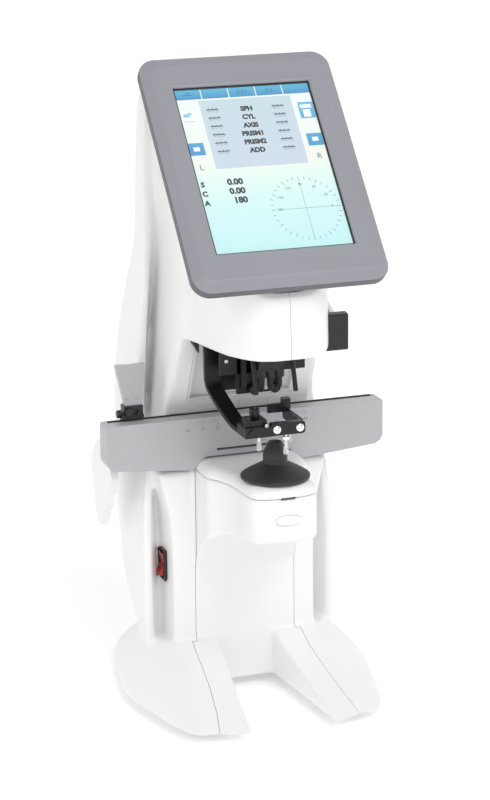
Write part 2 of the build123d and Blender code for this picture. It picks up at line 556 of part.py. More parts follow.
GUIDE_X = 13.0
add("guide_rods", *[inclined(1.5, 52, x, -52.8, 263.2) for x in (-GUIDE_X, GUIDE_X)])
cross = block(-16.5, 16.5, -62.5, -54.0, 240, 246)
cross += block(-8.5, 8.5, -61, -55, 226, 240)
cross += block(16.5, 29.5, -61, -54, 240, 246)
cross += block(27, 29.5, -61, -28, 244.4, 257.6)
for x in (-GUIDE_X, GUIDE_X):
    cross -= inclined(1.5 + RUN, 60, x, -52.8, 263.2)
cross -= block(26, 31, -56, -30, 248.9, 255.1)
PEN_XS = (-5.8, 0.0, 5.8)
for x in PEN_XS:
    cross -= rod("z", 40, 2.0, (x, -58, 220))
add("pen_carriage", cross)
pens = []
for x in PEN_XS:
    tip = Pos(x, -58, 212.5) * Cone(0.7, 2.0, 3, align=(Align.CENTER, Align.CENTER, Align.MIN))
    pens.append(tip + rod("z", 24.5, 2.0, (x, -58, 215.5)))
add("marking_pens", *pens)
add("mark_axle", rod("x", 23, 3.0, (29.7, MARK_PIVOT_Y, MARK_PIVOT_Z)))
CRANK_Y, CRANK_Z = -52.0, 252.0
crank = prism_yz([(MARK_PIVOT_Y + 5, 266), (MARK_PIVOT_Y + 5, 257.5), (CRANK_Y, 249), (CRANK_Y - 3, 252),
                  (CRANK_Y, 255), (MARK_PIVOT_Y, 267)], 30.4, 33.4)
crank += rod("x", 4.0, 1.5, (26.6, CRANK_Y, CRANK_Z))
add("mark_crank", crank - rod("x", 10, 3.0, (28, MARK_PIVOT_Y, MARK_PIVOT_Z)))
lever_arm = prism_yz([(MARK_PIVOT_Y + 7, 260), (MARK_PIVOT_Y + 2, 269), (MARK_PIVOT_Y - 4, 269), (-36, 252),
                      (-43, 243), (-36, 236), (MARK_PIVOT_Y, 255)], 49.7, 52.4)
add("mark_arm", lever_arm - rod("x", 10, 3.0, (45, MARK_PIVOT_Y, MARK_PIVOT_Z)))
grip = block(41.2, 55.2, -50, -43, 232, 255.5)
add("mark_handle", fillet(grip.edges().filter_by(Axis.Z), 1.5))

# ---------------------------------------------------------------- display
bezel = extrude(RectangleRounded(BEZEL_W, BEZEL_H, 11), amount=1.5 - BEZEL_BACK)
bezel = Pos(0, -0.6, BEZEL_BACK) * bezel
bezel = chamfer(bezel.faces().sort_by(Axis.Z)[-1].edges(), 3.2)
bezel -= block(-SCREEN_W / 2, SCREEN_W / 2, -SCREEN_H / 2, SCREEN_H / 2, -20, 5)
bezel -= block(-51.2, 51.2, -67.2, 67.2, -20, -0.1)
bezel -= block(-58.5, 58.5, -79.5, 78.5, -20, -4.2)
add("display_bezel", on_screen(bezel))
add("touch_glass", on_screen(block(-51, 51, -67, 67, -1.7, -0.12)))
add("lcd_panel", on_screen(block(-50, 50, -66, 66, -6.6, -1.72)))
tray = Pos(0, 3, DISPLAY_BACK) * extrude(RectangleRounded(118, 154, 9), amount=BEZEL_BACK - DISPLAY_BACK)
tray -= block(-56, 56, -71, 77, DISPLAY_BACK + 2, BEZEL_BACK + 1)
tray -= block(-21, 21, -90, -64, -20, 0)
KNUCKLES = ((-30, -20.2), (20.2, 30))
for x0, x1 in KNUCKLES:
    tray += block(x0, x1, HINGE_U, -66, HINGE_N - 1.5, HINGE_N + 2)
    tray += rod("x", x1 - x0, HINGE_R, (x0, HINGE_U, HINGE_N))
    tray -= rod("x", x1 - x0 + 2, HINGE_PIN_R + RUN, (x0 - 1, HINGE_U, HINGE_N))
add("display_rear_housing", on_screen(largest(tray)))
hinge = rod("x", 39, HINGE_R, (-19.5, HINGE_U, HINGE_N))
hinge += block(-19.5, 19.5, HINGE_U - 1.5, HINGE_U + 9, HEAD_TOP, HEAD_TOP + 1.4)
hinge += block(-19.5, 19.5, HINGE_U - 1.5, HINGE_U + 1.5, HEAD_TOP, HINGE_N)
add("hinge_bracket", on_screen(hinge - rod("x", 50, HINGE_PIN_R, (-25, HINGE_U, HINGE_N))))
add("hinge_pin", on_screen(rod("x", 60, HINGE_PIN_R, (-30, HINGE_U, HINGE_N))))

for name, shape in nodes.items():
    shape.label = name
    export_step(shape, f"parts/{name}.step")
everything = Compound(children=list(nodes.values())).bounding_box()
print(len(nodes), "nodes", everything.min, everything.max)
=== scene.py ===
"""Looks for the lensmeter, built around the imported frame. Lengths in the helpers are millimetres."""
import math

import bmesh
import bpy
from mathutils import Matrix, Vector


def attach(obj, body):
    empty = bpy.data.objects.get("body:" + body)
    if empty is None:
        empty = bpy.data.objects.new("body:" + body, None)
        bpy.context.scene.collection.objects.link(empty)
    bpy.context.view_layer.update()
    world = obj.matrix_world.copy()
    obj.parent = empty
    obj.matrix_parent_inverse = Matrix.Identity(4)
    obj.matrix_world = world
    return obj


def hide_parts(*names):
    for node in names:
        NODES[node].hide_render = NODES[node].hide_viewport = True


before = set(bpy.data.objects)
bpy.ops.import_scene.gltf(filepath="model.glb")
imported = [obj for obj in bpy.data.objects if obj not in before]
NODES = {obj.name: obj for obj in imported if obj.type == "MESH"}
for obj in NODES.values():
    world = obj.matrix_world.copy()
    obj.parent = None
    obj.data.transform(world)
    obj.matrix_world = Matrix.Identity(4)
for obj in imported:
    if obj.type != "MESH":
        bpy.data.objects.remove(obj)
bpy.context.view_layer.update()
MM = 0.001
scene = bpy.context.scene


# ---------------------------------------------------------------- materials
BROAD_SCALE = 14.0  # of the slow colour variation
ROUGH_VARY = 0.08  # share by which the fine grain varies the roughness
GRAIN_DEPTH = 0.0002  # metres
COAT_ROUGHNESS = 0.12


def material(name, base, rough, metallic=0.0, grain=900.0, bump=0.05, vary=0.04, coat=0.0,
             alpha=1.0, glow=None, stretch=(1, 1, 1)):
    """A moulded, painted or metal surface: fine grain in the bump, slow variation in colour and roughness."""
    mat = bpy.data.materials.new(name)
    mat.use_nodes = True
    tree = mat.node_tree
    nodes, links = tree.nodes, tree.links
    shader = nodes["Principled BSDF"]
    coords = nodes.new("ShaderNodeTexCoord")
    mapping = nodes.new("ShaderNodeMapping")
    mapping.inputs["Scale"].default_value = stretch
    links.new(coords.outputs["Object"], mapping.inputs["Vector"])

    broad = nodes.new("ShaderNodeTexNoise")
    broad.inputs["Scale"].default_value = BROAD_SCALE
    broad.inputs["Detail"].default_value = 3.0
    links.new(mapping.outputs["Vector"], broad.inputs["Vector"])
    ramp = nodes.new("ShaderNodeValToRGB")
    low = [max(0.0, c * (1 - vary)) for c in base]
    high = [min(1.0, c * (1 + vary)) for c in base]
    ramp.color_ramp.elements[0].position = 0.3
    ramp.color_ramp.elements[1].position = 0.7
    ramp.color_ramp.elements[0].color = (*low, 1)
    ramp.color_ramp.elements[1].color = (*high, 1)
    links.new(broad.outputs["Fac"], ramp.inputs["Fac"])
    links.new(ramp.outputs["Color"], shader.inputs["Base Color"])

    fine = nodes.new("ShaderNodeTexNoise")
    fine.inputs["Scale"].default_value = grain
    fine.inputs["Detail"].default_value = 4.0
    links.new(mapping.outputs["Vector"], fine.inputs["Vector"])
    spread = nodes.new("ShaderNodeMapRange")
    spread.inputs["To Min"].default_value = max(0.02, rough * (1 - ROUGH_VARY))
    spread.inputs["To Max"].default_value = min(1.0, rough * (1 + ROUGH_VARY))
    links.new(fine.outputs["Fac"], spread.inputs["Value"])
    links.new(spread.outputs["Result"], shader.inputs["Roughness"])
    relief = nodes.new("ShaderNodeBump")
    relief.inputs["Strength"].default_value = bump
    relief.inputs["Distance"].default_value = GRAIN_DEPTH
    links.new(fine.outputs["Fac"], relief.inputs["Height"])
    links.new(relief.outputs["Normal"], shader.inputs["Normal"])

    shader.inputs["Metallic"].default_value = metallic
    shader.inputs["Coat Weight"].default_value = coat
    shader.inputs["Coat Roughness"].default_value = COAT_ROUGHNESS
    shader.inputs["Alpha"].default_value = alpha
    if glow is not None:
        shader.inputs["Emission Color"].default_value = (*base, 1)
        shader.inputs["Emission Strength"].default_value = glow
    return mat


WHITE = (0.84, 0.835, 0.83)
M = {
    "housing": material("housing_white", WHITE, 0.34, bump=0.03, vary=0.008, coat=0.15),
    # painted shade: a darker copy of the housing white, for the recessed throat panel
    "housing_recess_shade": material("housing_white_recess_shade", (0.76, 0.755, 0.75), 0.5, vary=0.01),
    "bezel": material("bezel_gray", (0.272, 0.274, 0.305), 0.42, grain=2600, bump=0.22, vary=0.03),
    # painted shade: a darker copy of the bezel grey, for the bezel's side walls
    "bezel_wall_shade": material("bezel_side_painted_shade", (0.115, 0.112, 0.125), 0.46, grain=2600, bump=0.22, vary=0.03),
    "table": material("table_gray", (0.425, 0.43, 0.445), 0.36, grain=2600, bump=0.12, vary=0.02),
    # painted shade: near black for the floor of the bar's arch slot
    "table_slot_shade": material("table_slot_painted_shade", (0.10, 0.11, 0.13), 0.6),
    "black": material("black_plastic", (0.012, 0.012, 0.013), 0.42, grain=1800, bump=0.25, vary=0.15),
    "rest": material("black_rest", (0.020, 0.019, 0.020), 0.48, grain=1500, bump=0.3, vary=0.12),
    "black_metal": material("black_anodised", (0.013, 0.013, 0.015), 0.34, 0.35, grain=2200, bump=0.2,
                            vary=0.2),
    "deep": material("deep_black", (0.004, 0.004, 0.004), 0.8),
    "steel": material("bright_steel", (0.66, 0.66, 0.68), 0.22, 1.0, grain=500, bump=0.08,
                      stretch=(1, 0.05, 1)),
    "chrome": material("chrome", (0.86, 0.86, 0.86), 0.10, 1.0, grain=700, bump=0.03),
    "alloy": material("cast_alloy", (0.58, 0.59, 0.61), 0.45, 0.9, grain=700, bump=0.35),
    "bronze": material("bronze", (0.55, 0.39, 0.20), 0.35, 0.9, grain=900, bump=0.1),
    "rubber": material("rubber", (0.02, 0.02, 0.02), 0.85, grain=1400, bump=0.4, vary=0.2),
    "tip": material("clear_silicone", (0.85, 0.86, 0.84), 0.18, alpha=0.42, grain=400, bump=0.05, coat=0.6),
    "board": material("circuit_board", (0.02, 0.16, 0.06), 0.45, grain=300, bump=0.3, vary=0.3),
    "psu": material("sheet_metal", (0.50, 0.51, 0.52), 0.4, 0.8, grain=600, bump=0.15),
    "lens": material("coated_glass", (0.70, 0.84, 0.86), 0.05, alpha=0.35, bump=0.0, coat=1.0),
    "mirror": material("mirror", (0.9, 0.9, 0.92), 0.03, 1.0, bump=0.0),
    "rocker": material("rocker_red", (0.48, 0.014, 0.012), 0.22, coat=0.6, vary=0.06, bump=0.03),
    "glass": material("touch_glass", (0.9, 0.95, 0.96), 0.06, alpha=0.06, bump=0.0, coat=0.3),
    "ink": material("scale_ink", (0.20, 0.22, 0.25), 0.6),
    # painted shade: a dark strip that stands in for the shadow inside the cap's latch slot
    "latch_slot_shade": material("latch_slot_painted_shade", (0.04, 0.04, 0.04), 0.6),
    "hook": material("white_hook", (0.80, 0.79, 0.77), 0.4),
}


# ---------------------------------------------------------------- mesh helpers
def tidy(bm, sharp=32.0):
    """Consistent normals, smooth faces and sharp edges where faces meet steeply."""
    bmesh.ops.recalc_face_normals(bm, faces=bm.faces)
    for face in bm.faces:
        face.smooth = True
    for edge in bm.edges:
        edge.smooth = edge.calc_face_angle(0.0) < math.radians(sharp)


def to_object(bm, name, sharp=32.0):
    """A new object in the scene from a bmesh, which is used up."""
    tidy(bm, sharp)
    mesh = bpy.data.meshes.new(name)
    bm.to_mesh(mesh)
    bm.free()
    made = bpy.data.objects.new(name, mesh)
    scene.collection.objects.link(made)
    return made


def piece(ob, body, mat, replaces=(), weighted=False):
    """Gives an object its material, its body, and the nodes it stands for."""
    ob.data.materials.clear()
    ob.data.materials.append(M[mat])
    if weighted:
        keep = ob.modifiers.new("flat_faces", "WEIGHTED_NORMAL")
        keep.keep_sharp = True
    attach(ob, body)
    if replaces:
        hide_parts(*replaces)
    return ob


def rings_mesh(rings, closed_ends=True, closed_loop=False):
    """A bmesh skin through rings of equal length. Points are in millimetres."""
    bm = bmesh.new()
    rows = [[bm.verts.new((x * MM, y * MM, z * MM)) for x, y, z in ring] for ring in rings]
    count = len(rows[0])
    pairs = list(zip(rows, rows[1:]))
    if closed_loop:
        pairs.append((rows[-1], rows[0]))
    for low, high in pairs:
        for i in range(count):
            j = (i + 1) % count
            bm.faces.new((low[i], low[j], high[j], high[i]))
    if closed_ends and not closed_loop:
        bm.faces.new(rows[0][::-1])
        bm.faces.new(rows[-1])
    return bm


def bevel(bm, radius, segments=3, angle=28.0):
    """Rounds every edge that is steeper than angle."""
    edges = [e for e in bm.edges if e.calc_face_angle(0.0) > math.radians(angle)]
    bmesh.ops.bevel(bm, geom=edges, offset=radius * MM, segments=segments, profile=0.5, affect="EDGES",
                    clamp_overlap=True)


def prism(points, start, end, axis="y", radius=0.0, segments=3):
    """A flat outline extruded along an axis, with rounded edges. Outline: (x, z), (y, z) or (x, y)."""
    place = {
        "y": lambda a, b, t: (a, t, b),
        "x": lambda a, b, t: (t, a, b),
        "z": lambda a, b, t: (a, b, t),
    }[axis]
    bm = rings_mesh([[place(a, b, t) for a, b in points] for t in (start, end)])
    if radius:
        bevel(bm, radius, segments)
    return bm


def box(x0, x1, y0, y1, z0, z1, radius=0.0, segments=3):
    """A block between two corners, with rounded edges."""
    return prism([(x0, y0), (x1, y0), (x1, y1), (x0, y1)], z0, z1, "z", radius, segments)


def lathe(profile, at, axis="z", count=64):
    """A turned part, closed on its axis. Profile: (radius, distance along the axis), from start to end."""
    rings = []
    for radius, along in profile:
        ring = []
        for i in range(count):
            turn = 2 * math.pi * i / count
            a, b = max(radius, 0.02) * math.cos(turn), max(radius, 0.02) * math.sin(turn)
            point = {"z": (a, b, along), "y": (a, along, b), "x": (along, a, b)}[axis]
            ring.append(tuple(p + q for p, q in zip(point, at)))
        rings.append(ring)
    return rings_mesh(rings)


def joined(*meshes):
    """Several bmeshes as one."""
    whole = bmesh.new()
    for bm in meshes:
        part = bpy.data.meshes.new("part")
        bmesh.ops.recalc_face_normals(bm, faces=bm.faces)
        bm.to_mesh(part)
        bm.free()
        whole.from_mesh(part)
        bpy.data.meshes.remove(part)
    return whole


def bake(ob):
    """Applies an object's modifiers."""
    graph = bpy.context.evaluated_depsgraph_get()
    mesh = bpy.data.meshes.new_from_object(ob.evaluated_get(graph))
    old = ob.data
    ob.modifiers.clear()
    ob.data = mesh
    bpy.data.meshes.remove(old)
    return ob


def cut(ob, cutter, operation="DIFFERENCE"):
    """A solid minus, shared with or joined to a cutter, a bmesh or an object, which is used up."""
    tool = cutter if isinstance(cutter, bpy.types.Object) else to_object(cutter, "cutter")
    modifier = ob.modifiers.new("cut", "BOOLEAN")
    modifier.operation = operation
    modifier.object = tool
    modifier.solver = "MANIFOLD"
    bake(ob)
    bpy.data.objects.remove(tool)
    return ob


def resharpen(ob, sharp=32.0):
    """Normals and sharp edges again, after a cut."""
    bm = bmesh.new()
    bm.from_mesh(ob.data)
    tidy(bm, sharp)
    bm.to_mesh(ob.data)
    bm.free()
    return ob


def copy_of(ob, name):
    """A second object with a mesh of its own."""
    twin = ob.copy()
    twin.data = ob.data.copy()
    twin.name = name
    scene.collection.objects.link(twin)
    return twin


def curve_through(points, steps, first=None, last=None):
    """Points along a Catmull-Rom curve through the given ones."""
    before = first or tuple(2 * a - b for a, b in zip(points[0], points[1]))
    after = last or tuple(2 * a - b for a, b in zip(points[-1], points[-2]))
    full = [before, *points, after]
    found = []
    for p0, p1, p2, p3 in zip(full, full[1:], full[2:], full[3:]):
        for k in range(steps):
            t = k / steps
            found.append(tuple(
                0.5 * (2 * b + (c - a) * t + (2 * a - 5 * b + 4 * c - d) * t * t
                       + (3 * b - a - 3 * c + d) * t ** 3)
                for a, b, c, d in zip(p0, p1, p2, p3)))
    found.append(points[-1])
    return found


def smooth_value(table, at, column):
    """A monotone cubic through (position, value...) rows, read at one position."""
    xs = [row[0] for row in table]
    ys = [row[column] for row in table]
    if at <= xs[0]:
        return ys[0]
    if at >= xs[-1]:
        return ys[-1]
    slopes = [(b - a) / (d - c) for a, b, c, d in zip(ys, ys[1:], xs, xs[1:])]
    tangents = [slopes[0]]
    for left, right in zip(slopes, slopes[1:]):
        tangents.append(0.0 if left * right <= 0 else 2 * left * right / (left + right))
    tangents.append(slopes[-1])
    i = max(k for k in range(len(xs) - 1) if xs[k] <= at)
    h = xs[i + 1] - xs[i]
    t = (at - xs[i]) / h
    return ((2 * t ** 3 - 3 * t * t + 1) * ys[i] + (t ** 3 - 2 * t * t + t) * h * tangents[i]
            + (3 * t * t - 2 * t ** 3) * ys[i + 1] + (t ** 3 - t * t) * h * tangents[i + 1])


def straight_value(table, at, column):
    """The same kind of table, read along straight lines."""
    for low, high in zip(table, table[1:]):
        if low[0] <= at <= high[0]:
            share = (at - low[0]) / (high[0] - low[0])
            return low[column] + share * (high[column] - low[column])
    return table[-1][column] if at > table[-1][0] else table[0][column]


def steps_between(low, high, step):
    """Even values from low to high, about step apart."""
    count = max(1, round((high - low) / step))
    return [low + (high - low) * i / count for i in range(count + 1)]


# ---------------------------------------------------------------- shared places
REST_Y = -66  # axis of the lens rest
LEVER_AXIS = (33, 156)  # y, z of the table lever's axle
MARK_AXIS = (8, 262)  # y, z of the marking lever's axle
ROD_X, ROD_Z = 27, 172  # the table's two rods
BUTTON_Z = 137.4
COVER_HALF = 34.2  # half-width of the front cover's upper part
SEAM = 0.17  # half of the gap round the front cover
SPLIT = 0.12  # half of the gap between the left and right shells
PEN_XS, PEN_Y = (-5.8, 0.0, 5.8), -58
TILT = math.radians(47.6)
SCREEN_Y, SCREEN_Z = -48.3, 352.3  # middle of the display's front
SCREEN = Matrix((
    (1, 0, 0, 0),
    (0, math.cos(TILT), -math.sin(TILT), SCREEN_Y * MM),
    (0, math.sin(TILT), math.cos(TILT), SCREEN_Z * MM),
    (0, 0, 0, 1),
))


def on_screen(bm):
    """Moves a mesh from the screen's own frame (x, up, out) to the object's."""
    bm.transform(SCREEN)
    return bm


# ---------------------------------------------------------------- housing
# z, rear y, half-width, wing x, wing y, channel x, channel y
BODY = [
    (2, 40, 62.0, 64.0, 3, 51.0, 20), (39, 42, 65.0, 65.5, 3, 51.0, 20), (51, 53, 66.0, 66.0, 3, 51.0, 20),
    (63, 69, 66.5, 66.0, 3, 51.0, 20), (91, 83, 66.5, 66.0, 3, 51.0, 20), (118, 95, 66.0, 65.0, 5, 52.0, 21),
    (149.5, 101.5, 64.0, 62.0, 8, 58.5, 20), (167, 104.3, 63.0, 61.5, 18, 54.0, 36),
    (188, 101.5, 62.5, 61.0, 27, 50.5, 48), (215, 94, 62.5, 61.5, 21, 49.5, 46),
    (241, 82, 62.0, 61.5, 17, 49.0, 40), (271, 60, 61.5, 61.0, 12.5, 48.5, 30),
    (302, 38, 61.0, 60.5, 10, 48.5, 18), (345, 34, 60.5, 60.0, 8, 52.0, 9),
    (385, 30, 59.0, 58.0, 7, 52.0, 6), (402, 10, 54.0, 53.0, 1, 50.0, -1),
]
# z, then x and y of the front's corner
LOWER_FRONT = [(2, 48.5, -6), (91, 48.5, -6), (118, 50.0, -6), (149.5, 57.0, -6)]
UPPER_FRONT = [(149.5, 57.0, 4.5), (167, 53.0, 4.5), (188, 49.0, 4.5), (215, 48.0, -9.0), (241, 47.0, -22),
               (271, 46.0, -33), (402, 46.0, -33)]
WING_EDGE = 5.0  # thickness of a wing at its front edge
BACK_FLAT = 30  # half-width of the flat of the back


def body_ring(z, front):
    """The housing at one height: a round back, a wing and a channel on each side, and a flat front."""
    rear, wide, wing_x, wing_y, channel_x, channel_y = [smooth_value(BODY, z, k) for k in range(1, 7)]
    corner_x, corner_y = [straight_value(front, z, k) for k in (1, 2)]
    depth = rear - wing_y
    back = curve_through(
        [(0.0, rear), (BACK_FLAT, rear), (wide - 6, rear - 0.18 * depth), (wide, rear - 0.45 * depth),
         (wing_x, wing_y)],
        6, first=(-BACK_FLAT, rear))
    side = back + [
        (wing_x - WING_EDGE, wing_y + 0.4), (channel_x, max(channel_y, wing_y + 0.8)),
        (corner_x + 1, corner_y + 8), (corner_x, corner_y), (0.0, corner_y)]
    outline = side + [(-x, y) for x, y in reversed(side[1:-1])]
    return [(x, y, z) for x, y in outline]


def slope_cut(bm, depth):
    """Keeps what lies behind a plane parallel to the screen."""
    normal = SCREEN.to_3x3() @ Vector((0, 0, 1))
    point = SCREEN @ Vector((0, 0, depth * MM))
    cut_edges = bmesh.ops.bisect_plane(
        bm, geom=bm.verts[:] + bm.edges[:] + bm.faces[:], plane_co=point, plane_no=normal, clear_outer=True)
    edges = [e for e in cut_edges["geom_cut"] if isinstance(e, bmesh.types.BMEdge)]
    bmesh.ops.contextual_create(bm, geom=edges)
    return bm


# x, y from the nose to the rear
HEAD_PLAN = [(0.0, -96.8), (12.7, -96.0), (23, -90.5), (32.6, -74), (37.5, -54.5), (41.5, -33.6), (46, -20)]
HEAD_NOSE_Y = HEAD_PLAN[0][1]
HEAD_REAR_X, HEAD_REAR_Y = HEAD_PLAN[-1]
HEAD_Z = 241  # bottom of the head
HEAD_LEAN = 5.0 / 89  # millimetres back for each one up


def head_mesh(bottom, top, inset):
    """The head as a prism that leans back towards its top."""
    rings = []
    for z in (bottom, top):
        lean = HEAD_LEAN * (z - HEAD_Z)
        points = []
        for x, y in HEAD_PLAN:
            share = (HEAD_REAR_Y - y) / (HEAD_REAR_Y - HEAD_NOSE_Y)
            points.append((x * (HEAD_REAR_X - inset) / HEAD_REAR_X, y + (inset + lean) * share))
        half = curve_through(points, 8, first=(-points[1][0], points[1][1]))
        half.append((points[-1][0], 4 - 2 * inset))
        outline = half + [(-x, y) for x, y in reversed(half[1:])]
        rings.append([(x, y, z) for x, y in outline])
    return rings_mesh(rings)


# z, then x and y: inner wall, toe, outside, heel
FOOT = [
    (2, [(18.4, -3), (28, -101.5), (47, -93), (66, -84), (82, -26), (82, 8), (70, 66), (56, 90), (36, 92)]),
    (9, [(18.4, -3), (26.4, -82), (45, -77), (62, -70), (80, -23), (80.5, 8), (68.5, 64), (54, 87),
         (36, 89)]),
    (18, [(18.4, -3), (23.6, -53), (40, -51), (54, -46), (73.5, -15), (75, 10), (63, 57), (50, 78),
          (36, 80)]),
    (27, [(18.4, -3), (20.3, -23), (36, -23), (48, -20), (63.5, -7), (67, 12), (57, 46), (46, 64), (36, 66)]),
    (34, [(18.4, -3), (18.9, -7.5), (34, -7.5), (44, -7), (54, -2), (60, 14), (50, 38), (42, 50), (36, 52)]),
]
FOOT_LAYER = 1.6
FOOT_JOIN = [(36, 30), (18.4, 30)]  # inside the column


def foot_mesh(side):
    """One foot: straight inner wall and toe, curved outside, sloping top."""
    rings = []
    for z in steps_between(FOOT[0][0], FOOT[-1][0], FOOT_LAYER):
        plan = []
        for i in range(len(FOOT[0][1])):
            track = [(level, *points[i]) for level, points in FOOT]
            plan.append((straight_value(track, z, 1), straight_value(track, z, 2)))
        outside = curve_through(plan[2:], 6)
        outline = plan[:2] + outside + FOOT_JOIN
        rings.append([(side * x, y, z) for x, y in outline])
    return rings_mesh(rings)


# y, half-width
STAGE_PLAN = [(-90.0, 0.4), (-89.9, 4.0), (-89.5, 9), (-87, 18), (-81, 22), (-57, 24), (-41, 28.5),
              (-30, COVER_HALF), (-3, COVER_HALF)]
# y, z of the underside
STAGE_UNDER = [(-90, 122.6), (-78, 122), (-48, 117.5), (-30, 110), (-18, 100), (-9, 88), (-5, 80), (-3, 78)]


def stage_mesh(top):
    """The stage: a tongue whose underside sweeps down into the column."""
    nose_ys = [-90, -89.95, -89.8, -89.5, -89, -88.2, -87, -85.4, -83.4, -81]
    rings = []
    for y in nose_ys + steps_between(-78, -3, 2.5):
        half = smooth_value(STAGE_PLAN, y, 1)
        under = smooth_value(STAGE_UNDER, y, 1)
        rings.append([(-half, y, under), (half, y, under), (half, y, top), (-half, y, top)])
    return rings_mesh(rings)


WAIST_Z, NECK_Z, TOP_Z = 149.5, 188, 402
LAYER = 4.0
BEHIND_SCREEN = -15.0  # depth at which the display takes over from the housing
STAGE_TOP = 151.3
neck_heights = steps_between(NECK_Z + 3, TOP_Z, LAYER)
upper_heights = [WAIST_Z - 9.5] + steps_between(WAIST_Z, NECK_Z, LAYER) + neck_heights
volume = joined(
    rings_mesh([body_ring(z, LOWER_FRONT) for z in steps_between(BODY[0][0], WAIST_Z, LAYER)]),
    slope_cut(rings_mesh([body_ring(z, UPPER_FRONT) for z in upper_heights]), BEHIND_SCREEN),
    slope_cut(head_mesh(HEAD_Z, 412, 0), BEHIND_SCREEN),
    foot_mesh(1), foot_mesh(-1), stage_mesh(STAGE_TOP),
)
skin = to_object(volume, "skin")
remesh = skin.modifiers.new("one_skin", "REMESH")
remesh.mode = "VOXEL"
VOXEL, QUICK_VOXEL = 1.25, 2.2
remesh.voxel_size = VOXEL * MM
soft = skin.modifiers.new("soft_edges", "SMOOTH")
soft.factor = 0.5
soft.iterations = 14
bake(skin)


def oval_ring(width, height, y, z, count=48):
    """An oval between an ellipse and a rectangle, that faces the operator."""
    ring = []
    for i in range(count):
        turn = 2 * math.pi * i / count
        c, s = math.cos(turn), math.sin(turn)
        across = width / 2 * math.copysign(abs(c) ** 0.62, c)
        up = height / 2 * math.copysign(abs(s) ** 0.82, s)
        ring.append((across, y, z + up))
    return ring


# throat: a recess along the leaning neck
THROAT_HALF, THROAT_DEEP = 36.2, 12
throat = [(4.5 - 0.5 * (z - NECK_Z), z) for z in (193.8, 237.2)]
throat_outline = ([(y - THROAT_DEEP, z) for y, z in throat]
                  + [(y + THROAT_DEEP, z) for y, z in reversed(throat)])
cut(skin, prism(throat_outline, -THROAT_HALF, THROAT_HALF, "x"))
# hollow head, open below
cavity = head_mesh(200, 300, 2.6)
bmesh.ops.bisect_plane(cavity, geom=cavity.verts[:] + cavity.edges[:] + cavity.faces[:],
                       plane_co=(0, -24.5 * MM, 0), plane_no=(0, 1, 0), clear_outer=True)
bmesh.ops.holes_fill(cavity, edges=cavity.edges[:])
cut(skin, cavity)
# marking lever: room for its crank, and its axle
cut(skin, box(24.5, 44, -30, 22, 232, 275))
cut(skin, lathe([(3.3, 20), (3.3, 70)], (0, *MARK_AXIS), "x"))
# table: its rods, the pinion's bay, the rack's slot and the lever's boss
for x in (-ROD_X, ROD_X):
    cut(skin, lathe([(5.5, -12), (5.5, 78)], (x, 0, ROD_Z), "y"))
cut(skin, box(-48, -37, 9, 99, 131, 181))
cut(skin, box(-46.5, -38.5, -12, 60, 175, 185.5))
cut(skin, lathe([(7.1, -80), (7.1, -40)], (0, *LEVER_AXIS), "x"))
# power switch and rear connectors
cut(skin, box(-54, -36, 5.2, 18.8, 73.1, 92.9))
cut(skin, box(-32.3, 32.3, 34, 60, 7.8, 46.2))
# vents in the back
for z in range(104, 152, 8):
    for x in (-16, 16):
        cut(skin, box(x - 10, x + 10, 76, 120, z, z + 2.6))
# memory button
cut(skin, rings_mesh([oval_ring(16.4, 6.9, y, BUTTON_Z, 40) for y in (-95, -80)]))


def seam_tool(gap):
    """The front cover's share of the skin, as a solid that is gap larger all round."""
    edge = COVER_HALF + gap
    side = [(37.6 + gap, 7 + gap), (37.6 + gap, -6), (38.6 + gap, -30), (40.2 + gap, -50), (43.4 + gap, -74),
            (47.6 + gap, -94), (50 + gap, -110)]
    outline = side + [(-x, y) for x, y in reversed(side)]
    low = to_object(prism(outline, -5, 33.4 + gap, "z"), "seam_low")
    high = box(-edge, edge, -110, 2 + gap, 20, 151.5)
    return cut(low, high, "UNION")


front = cut(copy_of(skin, "front_cover_skin"), seam_tool(-SEAM), "INTERSECT")
sides = cut(skin, seam_tool(SEAM))
left = cut(copy_of(sides, "left_shell_skin"), box(-120, -SPLIT, -150, 150, -10, 450), "INTERSECT")
right = cut(copy_of(sides, "right_shell_skin"), box(SPLIT, 120, -150, 150, -10, 450), "INTERSECT")
bpy.data.objects.remove(sides)
for shell, node in ((left, "left_side_shell"), (right, "right_side_shell"), (front, "front_cover")):
    resharpen(shell, 38)
    piece(shell, "housing", "housing", [node])


# ---------------------------------------------------------------- stage cap, button, lens rest
CAP_REAR_Y = 4.2
CAP_NOSE = 12  # length over which the inset also moves the front back


def cap_ring(inset, z):
    """The cap's outline, moved inwards, at one height."""
    ys = [-90, -89.9, -89.6, -89, -88.2, -87, -85, -82.5, -79] + steps_between(-75, CAP_REAR_Y, LAYER)
    half = []
    for y in ys:
        x = max(0.2, smooth_value(STAGE_PLAN, y, 1) if y < -3 else COVER_HALF)
        pull = inset * max(0.0, min(1.0, (-76 - y) / CAP_NOSE))
        half.append((max(0.1, x - inset), min(CAP_REAR_Y, y + pull)))
    outline = half + [(-x, y) for x, y in reversed(half)]
    return [(x, y, z) for x, y in outline]


# inset, z
CAP = [(0.5, 151.75), (0.12, 152.2), (0.1, 153.2), (0.6, 154.8), (1.8, 156.5), (3.6, 157.8), (5.6, 158.5),
       (7.6, 158.8)]
cap = to_object(rings_mesh([cap_ring(inset, z) for inset, z in CAP]), "stage_cap_skin")
cut(cap, lathe([(9.0, 150), (9.0, 162)], (0, REST_Y, 0)))
piece(resharpen(cap, 40), "housing", "housing", ["stage_cap"])
# painted shade: the latch slot is a dark strip on the nose, not a cut
piece(to_object(box(-4.6, 4.6, -90.05, -89.0, 151.2, 152.1, 0.2, 2), "cap_latch_slot"), "housing", "latch_slot_shade")


